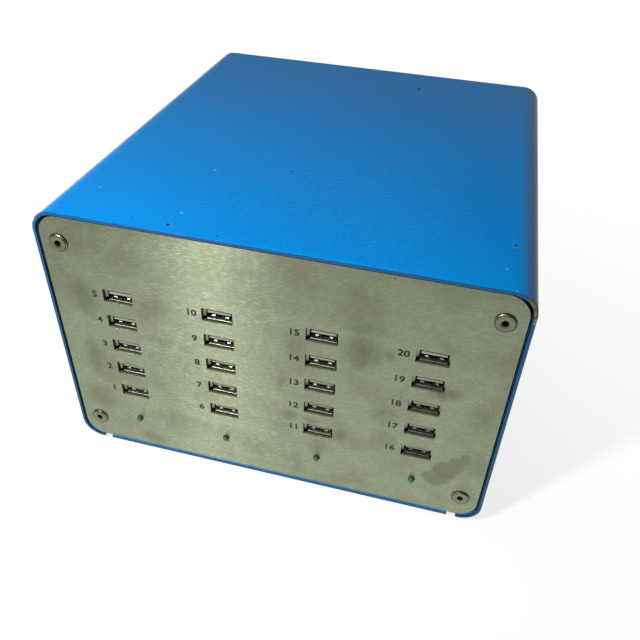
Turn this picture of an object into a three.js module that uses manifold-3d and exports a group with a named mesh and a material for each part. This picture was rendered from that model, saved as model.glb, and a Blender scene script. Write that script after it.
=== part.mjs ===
// A bench duplicator for USB flash drives: four columns of five sockets behind a steel front
// panel, in a blue sheet-metal case with a flat base plate, four rails and a cooled rear panel.
// Millimetres. X runs to the right, Y from the front to the back and Z up.
// The origin lies on the table, under the middle of the box that holds the whole object.

import * as THREE from "three";
import { mergeVertices } from "three/addons/utils/BufferGeometryUtils.js";
import Module from "manifold-3d";

const wasm = await Module();
wasm.setup();

// Case: one bent sheet with short turned-in lips, closed below by a separate base plate
const caseWidth = 224;
const caseHeight = 147;
const caseDepth = 236;
const sheet = 2;
const bendRadius = 11;
const lipEdgeInset = 12;
const lipBaseGap = 4.5;
const seatGap = 0.3;
const overrun = 5;

// Front and rear panels, set a little inside the case
const panelSideGap = 0.6;
const panelEndGap = 0.1;
const panelThickness = 2;
const panelCorner = 10.5;
const panelRecess = 0.5;

// Corner screws
const screwInsetX = 9;
const screwInsetZ = 13.9;
const headRadius = 4.85;
const headHeight = 0.8;
const headFlatRadius = 4.3;
const headShoulderShare = 0.82;
const headRimHeight = 0.3;
const hexAcrossFlats = 3;
const hexDepth = 2.2;
const shankRadius = 2.5;
const shankLength = 12;
const headGap = 0.1;
const screwClearance = 0.3;

// Socket field
const columns = 4;
const rows = 5;
const fieldMarginX = 9.4;
const fieldMarginZ = 32.4;
const cutoutWidth = 15.1;
const cutoutHeight = 7.3;
const cutoutShift = 0.3;

// One socket, type A, standing on a board behind the panel
const shellWidth = 13.1;
const shellHeight = 5.72;
const shellWall = 0.3;
const socketLength = 13.4;
const lipLength = 0.9;
const lipLongFlare = 1.1;
const lipLongWidth = 13;
const lipSideFlare = 1.35;
const lipSideHeight = 6;
const tongueWidth = 11.6;
const tongueThickness = 1.84;
const tongueDrop = 0.85;
const throatDepth = 10;

// Indicator lamps
const lampRise = 19.8;
const lampDomeRadius = 1.5;
const lampFlangeRadius = 1.9;
const lampReach = 2.4;
const lampFlangeReach = 0.3;
const lampBodyLength = 3;
const lampLegWidth = 0.5;
const lampLegSpacing = 2.54;
const lampHoleRadius = 2.2;

// Boards
const boardThickness = 1.6;
const portBoardWidth = 30;
const portBoardMargin = 7;
const mainBoardSideGap = 2;
const mainBoardFrontGap = 8;
const mainBoardRearGap = 1.5;
const supplyFrontGap = 11;
const supplyTailGap = 8;
const chipSize = 14;
const chipHeight = 1.6;
const chipSetback = 45;
const headerWidth = 20;
const headerDepth = 5;
const headerHeight = 9;

// Rails from panel to panel, the same section in all four corners
const railWallGap = 4;
const railWidth = 14;
const railAboveScrew = 5.5;
const railChamfer = 5.5;
const ledgeReach = 6;
const ledgeTop = 10;
const ledgeThickness = 3;
const boreDepth = 14;

// Base plate vents and feet
const ventWidth = 3;
const ventLength = 32;
const ventPitch = 8;
const baseVents = 9;
const baseVentCentreX = 35;
const baseVentCentreY = -30;
const footRadius = 7;
const footBottomRadius = 6.2;
const footHeight = 3;
const footInsetX = 24;
const footInsetY = 22;

// Rear panel layout, measured from the middle of the panel
const fanInset = 59.4;
const fanCentreZ = 18;
const inletInset = 47.4;
const inletCentreZ = -32;
const switchCentreZ = 3;
const hostFromTail = 24;
const rearVents = 7;
const rearVentTopInset = 13.4;
const rearVentSwitchGap = 12.3;

// Fan
const fanSize = 60;
const fanDepth = 15;
const fanCorner = 4;
const fanBoreRadius = 28.5;
const fanHoleSpan = 50;
const fanHoleRadius = 2.1;
const fanCupRadius = 13;
const fanCupDepth = 3.5;
const strutWidth = 4;
const strutThickness = 2.5;
const hubRadius = 12.5;
const hubDepth = 9;
const bladeCount = 7;
const bladeTip = 27.5;
const bladeThickness = 1.2;
const bladeChord = 13;
const bladeAngle = 38;
const spindleRadius = 1.5;
const spindleLength = 2.5;
const runningGap = 0.3;

// Finger guard in front of the fan
const guardWire = 1.6;
const guardInnerRing = 8;
const guardRingStep = 9;
const guardRings = 3;
const guardEyeRadius = 3.8;
const guardEyeHole = 1.8;

// Mains inlet
const inletWidth = 27;
const inletHeight = 19.8;
const inletBodyDepth = 22;
const inletFlangeWidth = 31;
const inletFlangeHeight = 24;
const inletFlangeThickness = 2.2;
const inletWall = 2.1;
const inletRecessDepth = 17;
const inletCornerCut = 5;
const inletPinWidth = 2;
const inletPinHeight = 4;
const inletPinSpread = 7;
const inletEarthRise = 2;
const inletPinLength = 13;

// Rocker switch
const switchBodyWidth = 13;
const switchBodyHeight = 19.4;
const switchBodyDepth = 14;
const bezelWidth = 15;
const bezelHeight = 21.4;
const bezelThickness = 2;
const rockerWidth = 10.4;
const rockerPlay = 0.4;
const pocketHeight = 17.4;
const rockerHalfLength = 7.6;
const rockerFootHalfLength = 6.2;
const rockerFootDepth = 1.4;
const rockerPivotDepth = 4;
const rockerReach = 4.4;
const rockerTilt = 8;
const pocketBelowPivot = 3.4;
const pivotRadius = 1.1;
const pivotLength = 0.7;
const pivotPlay = 0.3;

// Host socket, type B
const hostWidth = 12;
const hostHeight = 10.8;
const hostDepth = 16.5;
const hostMouthWidth = 8.45;
const hostMouthHeight = 7.78;
const hostMouthDepth = 9;
const hostTongueWidth = 5.6;
const hostTongueHeight = 3.2;
const hostTongueInset = 1.5;
const hostStand = 0.4;

// Power supply box
const supplyWidth = 70;
const supplyDepth = 96;
const supplyHeight = 40;
const supplyFromRear = 6;
const supplySideGap = 2;
const supplySlots = 8;
const supplySlotWidth = 2.5;
const supplySlotDepth = 3;
const supplySlotInset = 12;
const supplySlotMargin = 8;

// Facet counts
const cornerFacets = 8;
const roundFacets = 20;
const smallFacets = 12;

// Widths and spans that follow the case
const lipSpan = caseWidth - 2 * lipEdgeInset;
const baseWidth = lipSpan - 2 * lipBaseGap;
const panelWidth = caseWidth - 2 * (sheet + panelSideGap);
const panelHeight = caseHeight - 2 * (sheet + panelEndGap);
const screwSpanX = panelWidth - 2 * screwInsetX;
const screwSpanZ = panelHeight - 2 * screwInsetZ;
const columnPitch = (panelWidth - 2 * fieldMarginX) / columns;
const rowPitch = (panelHeight - 2 * fieldMarginZ) / rows;
const lampDrop = panelHeight / 2 - lampRise;
const railOuter = caseWidth / 2 - sheet - railWallGap;
const railInner = railOuter - railWidth;
const supplyLeft = ledgeReach + supplySideGap - railInner;
const supplyRight = supplyLeft + supplyWidth;
const mainBoardTail = supplyRight + supplyTailGap;
const fanCentreX = fanInset - panelWidth / 2;
const inletCentreX = panelWidth / 2 - inletInset;
const hostCentreX = mainBoardTail + hostFromTail;

// Heights
const caseBottom = footHeight;
const panelCentreZ = caseBottom + caseHeight / 2;
const floorTop = caseBottom + sheet;

// Depths: the lamps reach furthest forwards and the raised end of the rocker furthest back
const frontReach = lampReach - panelRecess;
const rearReach = rockerReach - panelRecess;
const caseFront = -(caseDepth + rearReach - frontReach) / 2;
const caseBack = caseFront + caseDepth;
const panelFace = caseFront + panelRecess;
const panelBack = panelFace + panelThickness;
const rearFace = caseBack - panelRecess;
const rearInside = rearFace - panelThickness;
const socketFront = panelBack + seatGap;
const socketBack = socketFront + socketLength;
const boardFront = socketBack + seatGap;
const supplyBack = rearInside - supplyFromRear;
const supplyFront = supplyBack - supplyDepth;

const finishes = {
  bluePaint: { color: 0x1480d0, roughness: 0.35, metalness: 0.1 },
  brushedSteel: { color: 0x9aa18c, roughness: 0.45, metalness: 0.9 },
  rearAluminium: { color: 0x9da1a0, roughness: 0.5, metalness: 0.9 },
  steel: { color: 0xa9a899, roughness: 0.35, metalness: 0.9 },
  nickel: { color: 0xb8b6a8, roughness: 0.3, metalness: 0.9 },
  aluminium: { color: 0xb4b6b8, roughness: 0.5, metalness: 0.9 },
  greenLens: { color: 0x2e6b45, roughness: 0.25, metalness: 0 },
  circuitBoard: { color: 0x1d5a38, roughness: 0.5, metalness: 0 },
  zincPlate: { color: 0xa7abad, roughness: 0.4, metalness: 0.8 },
  blackPlastic: { color: 0x1b1c1e, roughness: 0.5, metalness: 0 },
  rubber: { color: 0x202020, roughness: 0.85, metalness: 0 },
};

function solidOf(geometry) {
  const bare = geometry.clone();
  bare.deleteAttribute("normal");
  bare.deleteAttribute("uv");
  const merged = mergeVertices(bare);
  const vertProperties = new Float32Array(merged.attributes.position.array);
  const triVerts = new Uint32Array(merged.index.array);
  return new wasm.Manifold(new wasm.Mesh({ numProp: 3, vertProperties, triVerts }));
}

function geometryOf(solid) {
  const mesh = solid.getMesh();
  const geometry = new THREE.BufferGeometry();
  geometry.setAttribute("position", new THREE.BufferAttribute(mesh.vertProperties, mesh.numProp));
  geometry.setIndex(new THREE.BufferAttribute(mesh.triVerts, 1));
  const faceted = geometry.toNonIndexed();
  faceted.computeVertexNormals();
  return faceted;
}

function join(first, ...others) {
  return geometryOf(others.reduce((sum, piece) => sum.add(solidOf(piece)), solidOf(first)));
}

function cut(body, ...tools) {
  return geometryOf(tools.reduce((rest, tool) => rest.subtract(solidOf(tool)), solidOf(body)));
}

// A block given by its lowest and highest corners
function block([x0, y0, z0], [x1, y1, z1]) {
  const geometry = new THREE.BoxGeometry(x1 - x0, y1 - y0, z1 - z0);
  return geometry.translate((x0 + x1) / 2, (y0 + y1) / 2, (z0 + z1) / 2);
}

// A block between two depths, centred at x and z
function bar(width, height, front, back, x = 0, z = 0) {
  return block([x - width / 2, front, z - height / 2], [x + width / 2, back, z + height / 2]);
}

// A shape drawn in X and Z, extruded from one depth to another
function extrudeY(shape, front, back) {
  const settings = { depth: back - front, bevelEnabled: false, curveSegments: cornerFacets };
  const geometry = new THREE.ExtrudeGeometry(shape, settings);
  return geometry.rotateX(Math.PI / 2).translate(0, back, 0);
}

// A round pin or drill along Y
function roundY(radius, front, back, x = 0, z = 0, facets = smallFacets) {
  const geometry = new THREE.CylinderGeometry(radius, radius, back - front, facets);
  return geometry.translate(x, (front + back) / 2, z);
}

function roundedRectangle(width, height, radius) {
  const x = width / 2 - radius;
  const z = height / 2 - radius;
  const shape = new THREE.Shape();
  shape.absarc(x, z, radius, 0, Math.PI / 2);
  shape.absarc(-x, z, radius, Math.PI / 2, Math.PI);
  shape.absarc(-x, -z, radius, Math.PI, Math.PI * 1.5);
  shape.absarc(x, -z, radius, Math.PI * 1.5, Math.PI * 2);
  shape.closePath();
  return shape;
}

function pointsShape(points) {
  return new THREE.Shape(points.map(([x, z]) => new THREE.Vector2(x, z)));
}

const duplicator = new THREE.Group();

function addPart(name, geometry, finish, place = {}) {
  const part = new THREE.Mesh(geometry, new THREE.MeshStandardMaterial(finishes[finish]));
  part.name = name;
  part.position.set(place.x ?? 0, place.y ?? 0, place.z ?? 0);
  part.rotation.set(place.turnX ?? 0, 0, 0);
  duplicator.add(part);
  return part;
}

const screwPlaces = [
  { corner: "top_left", x: -screwSpanX / 2, z: screwSpanZ / 2 },
  { corner: "top_right", x: screwSpanX / 2, z: screwSpanZ / 2 },
  { corner: "bottom_left", x: -screwSpanX / 2, z: -screwSpanZ / 2 },
  { corner: "bottom_right", x: screwSpanX / 2, z: -screwSpanZ / 2 },
];

function columnX(column) {
  return (column - (columns - 1) / 2) * columnPitch;
}

// The panel's cut-outs and the lamps stand a little to the left of the sockets' middles
function holeX(column) {
  return columnX(column) - cutoutShift;
}

// The sockets are numbered from the bottom of each column upwards
function rowZ(row) {
  return (row - (rows - 1) / 2) * rowPitch;
}

function coverProfile() {
  const x = caseWidth / 2 - bendRadius;
  const z = caseHeight / 2 - bendRadius;
  const inner = bendRadius - sheet;
  const shape = new THREE.Shape();
  shape.moveTo(-lipSpan / 2, -caseHeight / 2);
  shape.absarc(-x, -z, bendRadius, Math.PI * 1.5, Math.PI, true);
  shape.absarc(-x, z, bendRadius, Math.PI, Math.PI / 2, true);
  shape.absarc(x, z, bendRadius, Math.PI / 2, 0, true);
  shape.absarc(x, -z, bendRadius, 0, -Math.PI / 2, true);
  shape.lineTo(lipSpan / 2, -caseHeight / 2);
  shape.lineTo(lipSpan / 2, sheet - caseHeight / 2);
  shape.absarc(x, -z, inner, -Math.PI / 2, 0, false);
  shape.absarc(x, z, inner, 0, Math.PI / 2, false);
  shape.absarc(-x, z, inner, Math.PI / 2, Math.PI, false);
  shape.absarc(-x, -z, inner, Math.PI, Math.PI * 1.5, false);
  shape.lineTo(-lipSpan / 2, sheet - caseHeight / 2);
  shape.closePath();
  return shape;
}

function cover() {
  return extrudeY(coverProfile(), caseFront, caseBack).translate(0, 0, panelCentreZ);
}

function basePlate() {
  const low = [-baseWidth / 2, caseFront, caseBottom];
  const high = [baseWidth / 2, caseBack, floorTop];
  const slots = [];
  for (const side of [-1, 1]) {
    for (let i = 0; i < baseVents; i += 1) {
      const x = side * baseVentCentreX + (i - (baseVents - 1) / 2) * ventWidth * 2;
      const front = baseVentCentreY - ventLength / 2;
      slots.push(block([x - ventWidth / 2, front, caseBottom - overrun],
        [x + ventWidth / 2, front + ventLength, floorTop + overrun]));
    }
  }
  return cut(block(low, high), ...slots);
}

function screwHoles(front, back) {
  const radius = shankRadius + screwClearance;
  return screwPlaces.map(({ x, z }) => roundY(radius, front - overrun, back + overrun, x, z));
}

function frontPanel() {
  const drills = screwHoles(panelFace, panelBack);
  for (let column = 0; column < columns; column += 1) {
    const x = holeX(column);
    drills.push(roundY(lampHoleRadius, panelFace - overrun, panelBack + overrun, x, -lampDrop, roundFacets));
    for (let row = 0; row < rows; row += 1) {
      drills.push(bar(cutoutWidth, cutoutHeight, panelFace - overrun, panelBack + overrun, x, rowZ(row)));
    }
  }
  const blank = extrudeY(roundedRectangle(panelWidth, panelHeight, panelCorner), panelFace, panelBack);
  return cut(blank, ...drills);
}

// Height of the host socket's middle above the middle of the panel
const mainBoardBottom = floorTop + ledgeTop + seatGap;
const mainBoardTop = mainBoardBottom + boardThickness;
const hostBottom = mainBoardTop + hostStand;
const hostCentreZ = hostBottom + hostHeight / 2 - panelCentreZ;

function rearPanel() {
  const front = rearInside - overrun;
  const back = rearFace + overrun;
  const window = (width, height, x, z) => bar(width + 2 * seatGap, height + 2 * seatGap, front, back, x, z);
  const drills = screwHoles(rearInside, rearFace);
  drills.push(roundY(fanBoreRadius, front, back, fanCentreX, fanCentreZ, roundFacets * 2));
  drills.push(window(inletWidth, inletHeight, inletCentreX, inletCentreZ));
  drills.push(window(switchBodyWidth, switchBodyHeight, inletCentreX, switchCentreZ));
  drills.push(window(hostWidth, hostHeight, hostCentreX, hostCentreZ));
  const ventTop = panelHeight / 2 - rearVentTopInset;
  const ventBottom = switchCentreZ + bezelHeight / 2 + rearVentSwitchGap;
  for (let i = 0; i < rearVents; i += 1) {
    const x = inletCentreX + (i - (rearVents - 1) / 2) * ventPitch;
    drills.push(bar(ventWidth, ventTop - ventBottom, front, back, x, (ventTop + ventBottom) / 2));
  }
  const blank = extrudeY(roundedRectangle(panelWidth, panelHeight, panelCorner), rearInside, rearFace);
  return cut(blank, ...drills);
}

// A low button-head screw with a hexagon socket, its head at y = 0 and below, its shank along +Y
function screw() {
  const outline = [
    [0, -headHeight],
    [headFlatRadius, -headHeight],
    [(headFlatRadius + headRadius) / 2, -headHeight * headShoulderShare],
    [headRadius, -headRimHeight],
    [headRadius, 0],
    [shankRadius, 0],
    [shankRadius, shankLength],
    [0, shankLength],
  ];
  const points = outline.map(([radius, y]) => new THREE.Vector2(radius, y));
  const body = new THREE.LatheGeometry(points, roundFacets);
  const hexRadius = hexAcrossFlats / Math.sqrt(3);
  const hex = new THREE.CylinderGeometry(hexRadius, hexRadius, hexDepth + overrun, 6);
  hex.translate(0, (hexDepth - overrun) / 2 - headHeight, 0);
  return cut(body, hex);
}

// The rail of the lower right corner, measured from the middle of the panels
function railProfile() {
  const low = seatGap + sheet - caseHeight / 2;
  const high = railAboveScrew - screwSpanZ / 2;
  const ledge = ledgeTop + sheet - caseHeight / 2;
  return [
    [railOuter - railChamfer, low],
    [railOuter, low + railChamfer],
    [railOuter, high],
    [railInner, high],
    [railInner, ledge],
    [railInner - ledgeReach, ledge],
    [railInner - ledgeReach, ledge - ledgeThickness],
    [railInner, ledge - ledgeThickness],
    [railInner, low],
  ];
}

function rail(side, level) {
  const points = railProfile().map(([x, z]) => [side * x, level * z]);
  const front = panelBack + seatGap;
  const back = rearInside - seatGap;
  const x = side * screwSpanX / 2;
  const z = -level * screwSpanZ / 2;
  const radius = shankRadius + screwClearance;
  return cut(extrudeY(pointsShape(points), front, back),
    roundY(radius, front - overrun, front + boreDepth, x, z),
    roundY(radius, back - boreDepth, back + overrun, x, z));
}

// A lip's outline, in depth and in distance from the shell's middle: the wall runs forwards
// and turns outwards into a thin flange
function lipOutline(halfSize, flare) {
  const inner = halfSize - shellWall;
  return [
    [lipLength, inner],
    [lipLength, halfSize],
    [shellWall, halfSize],
    [shellWall, halfSize + flare],
    [0, halfSize + flare],
    [0, halfSize],
    [shellWall, inner],
  ];
}

function longLip(side) {
  const points = lipOutline(shellHeight / 2, lipLongFlare).map(([y, z]) => [y, side * z]);
  return prismX(points, -lipLongWidth / 2, lipLongWidth / 2);
}

function sideLip(side) {
  const points = lipOutline(shellWidth / 2, lipSideFlare).map(([y, x]) => [side * x, y]);
  return prismZ(points, -lipSideHeight / 2, lipSideHeight / 2);
}

// An outline of Y and Z points, extruded along X
function prismX(points, left, right) {
  const shape = new THREE.Shape(points.map(([y, z]) => new THREE.Vector2(y, z)));
  const geometry = new THREE.ExtrudeGeometry(shape, { depth: right - left, bevelEnabled: false });
  return geometry.rotateZ(Math.PI / 2).rotateY(Math.PI / 2).translate(left, 0, 0);
}

// An outline of X and Y points, extruded along Z
function prismZ(points, bottom, top) {
  const shape = new THREE.Shape(points.map(([x, y]) => new THREE.Vector2(x, y)));
  const geometry = new THREE.ExtrudeGeometry(shape, { depth: top - bottom, bevelEnabled: false });
  return geometry.translate(0, 0, bottom);
}

// One type A socket: its mouth faces -Y and its lips start at y = 0
function socket() {
  const mouthWidth = shellWidth - 2 * shellWall;
  const mouthHeight = shellHeight - 2 * shellWall;
  const shell = bar(shellWidth, shellHeight, lipLength, socketLength);
  const throat = bar(mouthWidth, mouthHeight, lipLength - overrun, throatDepth);
  const tongueTop = mouthHeight / 2 - tongueDrop;
  const tongue = block([-tongueWidth / 2, 0, tongueTop - tongueThickness],
    [tongueWidth / 2, throatDepth + shellWall, tongueTop]);
  const open = cut(shell, throat);
  return join(open, tongue, longLip(-1), longLip(1), sideLip(-1), sideLip(1));
}

function lamp() {
  const dome = [];
  const domeSteps = 4;
  const domeCentre = lampDomeRadius - lampReach;
  for (let i = 0; i <= domeSteps; i += 1) {
    const angle = (i / domeSteps) * Math.PI / 2;
    dome.push([lampDomeRadius * Math.sin(angle), domeCentre - lampDomeRadius * Math.cos(angle)]);
  }
  const outline = [
    ...dome,
    [lampDomeRadius, -lampFlangeReach],
    [lampFlangeRadius, -lampFlangeReach],
    [lampFlangeRadius, lampBodyLength],
    [0, lampBodyLength],
  ];
  const points = outline.map(([radius, y]) => new THREE.Vector2(radius, y));
  const body = new THREE.LatheGeometry(points, smallFacets);
  const legEnd = boardFront - panelFace - seatGap;
  const legs = [-1, 1].map((side) => bar(lampLegWidth, lampLegWidth,
    lampBodyLength - lampLegWidth, legEnd, side * lampLegSpacing / 2));
  return join(body, ...legs);
}

function portBoard(x) {
  const top = panelCentreZ + rowZ(rows - 1) + portBoardMargin;
  return block([x - portBoardWidth / 2, boardFront, mainBoardTop + seatGap],
    [x + portBoardWidth / 2, boardFront + boardThickness, top]);
}

// An L-shaped board on the rails' ledges: its tail carries the host socket at the rear panel
function mainBoard() {
  const front = panelBack + mainBoardFrontGap;
  const middle = supplyFront - supplyFrontGap;
  const rear = rearInside - mainBoardRearGap;
  const side = railInner - mainBoardSideGap;
  const board = prismZ([
    [-side, front],
    [side, front],
    [side, rear],
    [mainBoardTail, rear],
    [mainBoardTail, middle],
    [-side, middle],
  ], mainBoardBottom, mainBoardTop);
  const headerFront = boardFront + boardThickness + seatGap;
  const chipFront = boardFront + chipSetback;
  const parts = [];
  for (let column = 0; column < columns; column += 1) {
    const x = columnX(column);
    parts.push(block([x - headerWidth / 2, headerFront, mainBoardBottom],
      [x + headerWidth / 2, headerFront + headerDepth, mainBoardTop + headerHeight]));
    parts.push(block([x - chipSize / 2, chipFront, mainBoardBottom],
      [x + chipSize / 2, chipFront + chipSize, mainBoardTop + chipHeight]));
  }
  return join(board, ...parts);
}

function supply() {
  const bottom = floorTop + seatGap;
  const top = bottom + supplyHeight;
  const pitch = (supplyDepth - 2 * supplySlotMargin) / supplySlots;
  const slots = [];
  for (let i = 0; i < supplySlots; i += 1) {
    const y = (supplyFront + supplyBack) / 2 + (i - (supplySlots - 1) / 2) * pitch;
    slots.push(block([supplyLeft + supplySlotInset, y - supplySlotWidth / 2, top - supplySlotDepth],
      [supplyRight - supplySlotInset, y + supplySlotWidth / 2, top + overrun]));
  }
  return cut(block([supplyLeft, supplyFront, bottom], [supplyRight, supplyBack, top]), ...slots);
}

const fanBack = rearInside - seatGap;
const fanFront = fanBack - fanDepth;
const fanCorners = [[-1, -1], [-1, 1], [1, -1], [1, 1]].map(([sx, sz]) => [
  sx * fanHoleSpan / 2,
  sz * fanHoleSpan / 2,
]);
const diagonals = [Math.PI / 4, -Math.PI / 4];

// A square frame with a round bore; crossed struts at the back hold the cup of the motor
function fanFrame() {
  const blank = extrudeY(roundedRectangle(fanSize, fanSize, fanCorner), fanFront, fanBack);
  const drill = (radius, x, z, facets) => roundY(radius, fanFront - overrun, fanBack + overrun, x, z, facets);
  const bore = drill(fanBoreRadius, 0, 0, roundFacets * 2);
  const holes = fanCorners.map(([x, z]) => drill(fanHoleRadius, x, z, smallFacets));
  const strutLength = 2 * fanBoreRadius + strutWidth;
  const strutFront = fanBack - strutThickness;
  const struts = diagonals.map((turn) => bar(strutLength, strutWidth, strutFront, fanBack).rotateY(turn));
  const cupFront = fanBack - fanCupDepth;
  const cup = roundY(fanCupRadius, cupFront, fanBack, 0, 0, roundFacets);
  const bearing = roundY(spindleRadius + runningGap, fanFront, cupFront + spindleLength);
  return cut(join(cut(blank, bore, ...holes), ...struts, cup), bearing);
}

// The rotor stands at the origin of its own frame, with its axis along Y
function fanRotor() {
  const hubBack = fanBack - fanCupDepth - runningGap;
  const hubFront = hubBack - hubDepth;
  const middle = (hubFront + hubBack) / 2;
  const blades = [];
  for (let i = 0; i < bladeCount; i += 1) {
    const blade = block([hubRadius - bladeThickness, -bladeThickness / 2, -bladeChord / 2],
      [bladeTip, bladeThickness / 2, bladeChord / 2]);
    blade.rotateX(bladeAngle * Math.PI / 180).translate(0, middle, 0);
    blades.push(blade.rotateY((i / bladeCount) * Math.PI * 2));
  }
  const spindleBack = hubBack + spindleLength;
  return join(roundY(hubRadius, hubFront, hubBack, 0, 0, roundFacets), ...blades,
    roundY(spindleRadius, middle, spindleBack));
}

function guardRing(radius, front, back) {
  const outline = [
    [radius - guardWire / 2, front],
    [radius + guardWire / 2, front],
    [radius + guardWire / 2, back],
    [radius - guardWire / 2, back],
    [radius - guardWire / 2, front],
  ];
  return new THREE.LatheGeometry(outline.map(([r, y]) => new THREE.Vector2(r, y)), roundFacets);
}

// A flat finger guard: rings on two crossed wires, whose ends are eyes over the fan's holes
function fanGuard() {
  const front = rearFace + seatGap;
  const back = front + guardWire;
  const span = fanHoleSpan * Math.SQRT2;
  const drill = (x, z) => roundY(guardEyeHole, front - overrun, back + overrun, x, z);
  const eyes = fanCorners.map(([x, z]) => roundY(guardEyeRadius, front, back, x, z));
  const eyeHoles = fanCorners.map(([x, z]) => drill(x, z));
  const wires = diagonals.map((turn) => bar(span, guardWire, front, back).rotateY(turn));
  const rings = [];
  for (let i = 0; i < guardRings; i += 1) {
    rings.push(guardRing(guardInnerRing + i * guardRingStep, front, back));
  }
  return cut(join(...wires, ...rings, ...eyes), ...eyeHoles);
}

function inlet() {
  const back = rearFace + seatGap + inletFlangeThickness;
  const front = back - inletFlangeThickness - inletBodyDepth;
  const halfWidth = inletWidth / 2 - inletWall;
  const halfHeight = inletHeight / 2 - inletWall;
  const recess = extrudeY(pointsShape([
    [-halfWidth, -halfHeight],
    [halfWidth, -halfHeight],
    [halfWidth, halfHeight - inletCornerCut],
    [halfWidth - inletCornerCut, halfHeight],
    [inletCornerCut - halfWidth, halfHeight],
    [-halfWidth, halfHeight - inletCornerCut],
  ]), back - inletRecessDepth, back + overrun);
  const body = join(bar(inletWidth, inletHeight, front, back),
    bar(inletFlangeWidth, inletFlangeHeight, back - inletFlangeThickness, back));
  const floor = back - inletRecessDepth;
  const pins = [[-inletPinSpread, 0], [0, inletEarthRise], [inletPinSpread, 0]].map(([x, z]) => bar(
    inletPinWidth, inletPinHeight, floor - inletWall, floor + inletPinLength, x, z));
  return join(cut(body, recess), ...pins);
}

// Depth of the rocker's pivot, inside the bezel
const bezelBack = rearFace + bezelThickness;
const pivotY = bezelBack - rockerPivotDepth;

function switchBody() {
  const front = rearFace - switchBodyDepth;
  const body = join(bar(switchBodyWidth, switchBodyHeight, front, bezelBack),
    bar(bezelWidth, bezelHeight, rearFace + headGap, bezelBack));
  const pocketFront = pivotY - pocketBelowPivot;
  const pocket = bar(rockerWidth + 2 * rockerPlay, pocketHeight, pocketFront, bezelBack + overrun);
  const bearing = new THREE.CylinderGeometry(pivotRadius + pivotPlay, pivotRadius + pivotPlay,
    rockerWidth + 2 * (pivotLength + pivotPlay), smallFacets);
  bearing.rotateZ(Math.PI / 2).translate(0, pivotY, 0);
  return cut(body, pocket, bearing);
}

// The rocker turns about X at its own origin; its face is a shallow V that opens towards +Y
function rocker() {
  const tilt = rockerTilt * Math.PI / 180;
  const reach = rockerReach - bezelThickness + rockerPivotDepth;
  const endHeight = (reach - rockerHalfLength * Math.sin(tilt)) / Math.cos(tilt);
  const middleHeight = endHeight - rockerHalfLength * Math.tan(tilt);
  const body = prismX([
    [-rockerFootDepth, -rockerFootHalfLength],
    [endHeight, -rockerHalfLength],
    [middleHeight, 0],
    [endHeight, rockerHalfLength],
    [-rockerFootDepth, rockerFootHalfLength],
  ], -rockerWidth / 2, rockerWidth / 2);
  const pinSpan = rockerWidth + 2 * pivotLength;
  const pins = new THREE.CylinderGeometry(pivotRadius, pivotRadius, pinSpan, smallFacets);
  return join(body, pins.rotateZ(Math.PI / 2));
}

function hostSocket() {
  const back = rearFace;
  const front = back - hostDepth;
  const shell = bar(hostWidth, hostHeight, front, back);
  const mouth = bar(hostMouthWidth, hostMouthHeight, back - hostMouthDepth, back + overrun);
  const tongueRoot = back - hostMouthDepth - shellWall;
  const tongue = bar(hostTongueWidth, hostTongueHeight, tongueRoot, back - hostTongueInset);
  return join(cut(shell, mouth), tongue);
}

function foot() {
  const top = caseBottom - headGap;
  const geometry = new THREE.CylinderGeometry(footRadius, footBottomRadius, top, roundFacets);
  return geometry.rotateX(Math.PI / 2).translate(0, 0, top / 2);
}

addPart("cover", cover(), "bluePaint");
addPart("base_plate", basePlate(), "bluePaint");
addPart("front_panel", frontPanel(), "brushedSteel", { z: panelCentreZ });
addPart("rear_panel", rearPanel(), "rearAluminium", { z: panelCentreZ });

for (const { corner, x, z } of screwPlaces) {
  addPart(`front_screw_${corner}`, screw(), "steel", { x, y: panelFace - headGap, z: panelCentreZ + z });
  addPart(`rear_screw_${corner}`, screw().rotateX(Math.PI), "steel",
    { x, y: rearFace + headGap, z: panelCentreZ + z });
}

for (const [side, sideName] of [[-1, "left"], [1, "right"]]) {
  addPart(`upper_${sideName}_rail`, rail(side, -1), "aluminium", { z: panelCentreZ });
  addPart(`lower_${sideName}_rail`, rail(side, 1), "aluminium", { z: panelCentreZ });
  for (const [end, endName] of [[-1, "front"], [1, "rear"]]) {
    const x = side * (caseWidth / 2 - footInsetX);
    const y = (caseFront + caseBack) / 2 + end * (caseDepth / 2 - footInsetY);
    addPart(`foot_${endName}_${sideName}`, foot(), "rubber", { x, y });
  }
}

for (let column = 0; column < columns; column += 1) {
  const x = columnX(column);
  addPart(`port_board_${column + 1}`, portBoard(x), "circuitBoard");
  addPart(`led_${column + 1}`, lamp(), "greenLens",
    { x: holeX(column), y: panelFace, z: panelCentreZ - lampDrop });
  for (let row = 0; row < rows; row += 1) {
    const number = String(column * rows + row + 1).padStart(2, "0");
    addPart(`usb_port_${number}`, socket(), "nickel", { x, y: socketFront, z: panelCentreZ + rowZ(row) });
  }
}

addPart("main_board", mainBoard(), "circuitBoard");
addPart("power_supply", supply(), "zincPlate");

const fanPlace = { x: fanCentreX, z: panelCentreZ + fanCentreZ };
addPart("fan_frame", fanFrame(), "blackPlastic", fanPlace);
addPart("fan_rotor", fanRotor(), "blackPlastic", fanPlace);
addPart("fan_guard", fanGuard(), "steel", fanPlace);

addPart("power_inlet", inlet(), "blackPlastic", { x: inletCentreX, z: panelCentreZ + inletCentreZ });

const switchPlace = { x: inletCentreX, z: panelCentreZ + switchCentreZ };
const switchedOff = -rockerTilt * Math.PI / 180;
addPart("power_switch_body", switchBody(), "blackPlastic", switchPlace);
addPart("power_rocker", rocker(), "blackPlastic", { ...switchPlace, y: pivotY, turnX: switchedOff });
addPart("host_socket", hostSocket(), "nickel", { x: hostCentreX, z: panelCentreZ + hostCentreZ });

export default duplicator;
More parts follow.
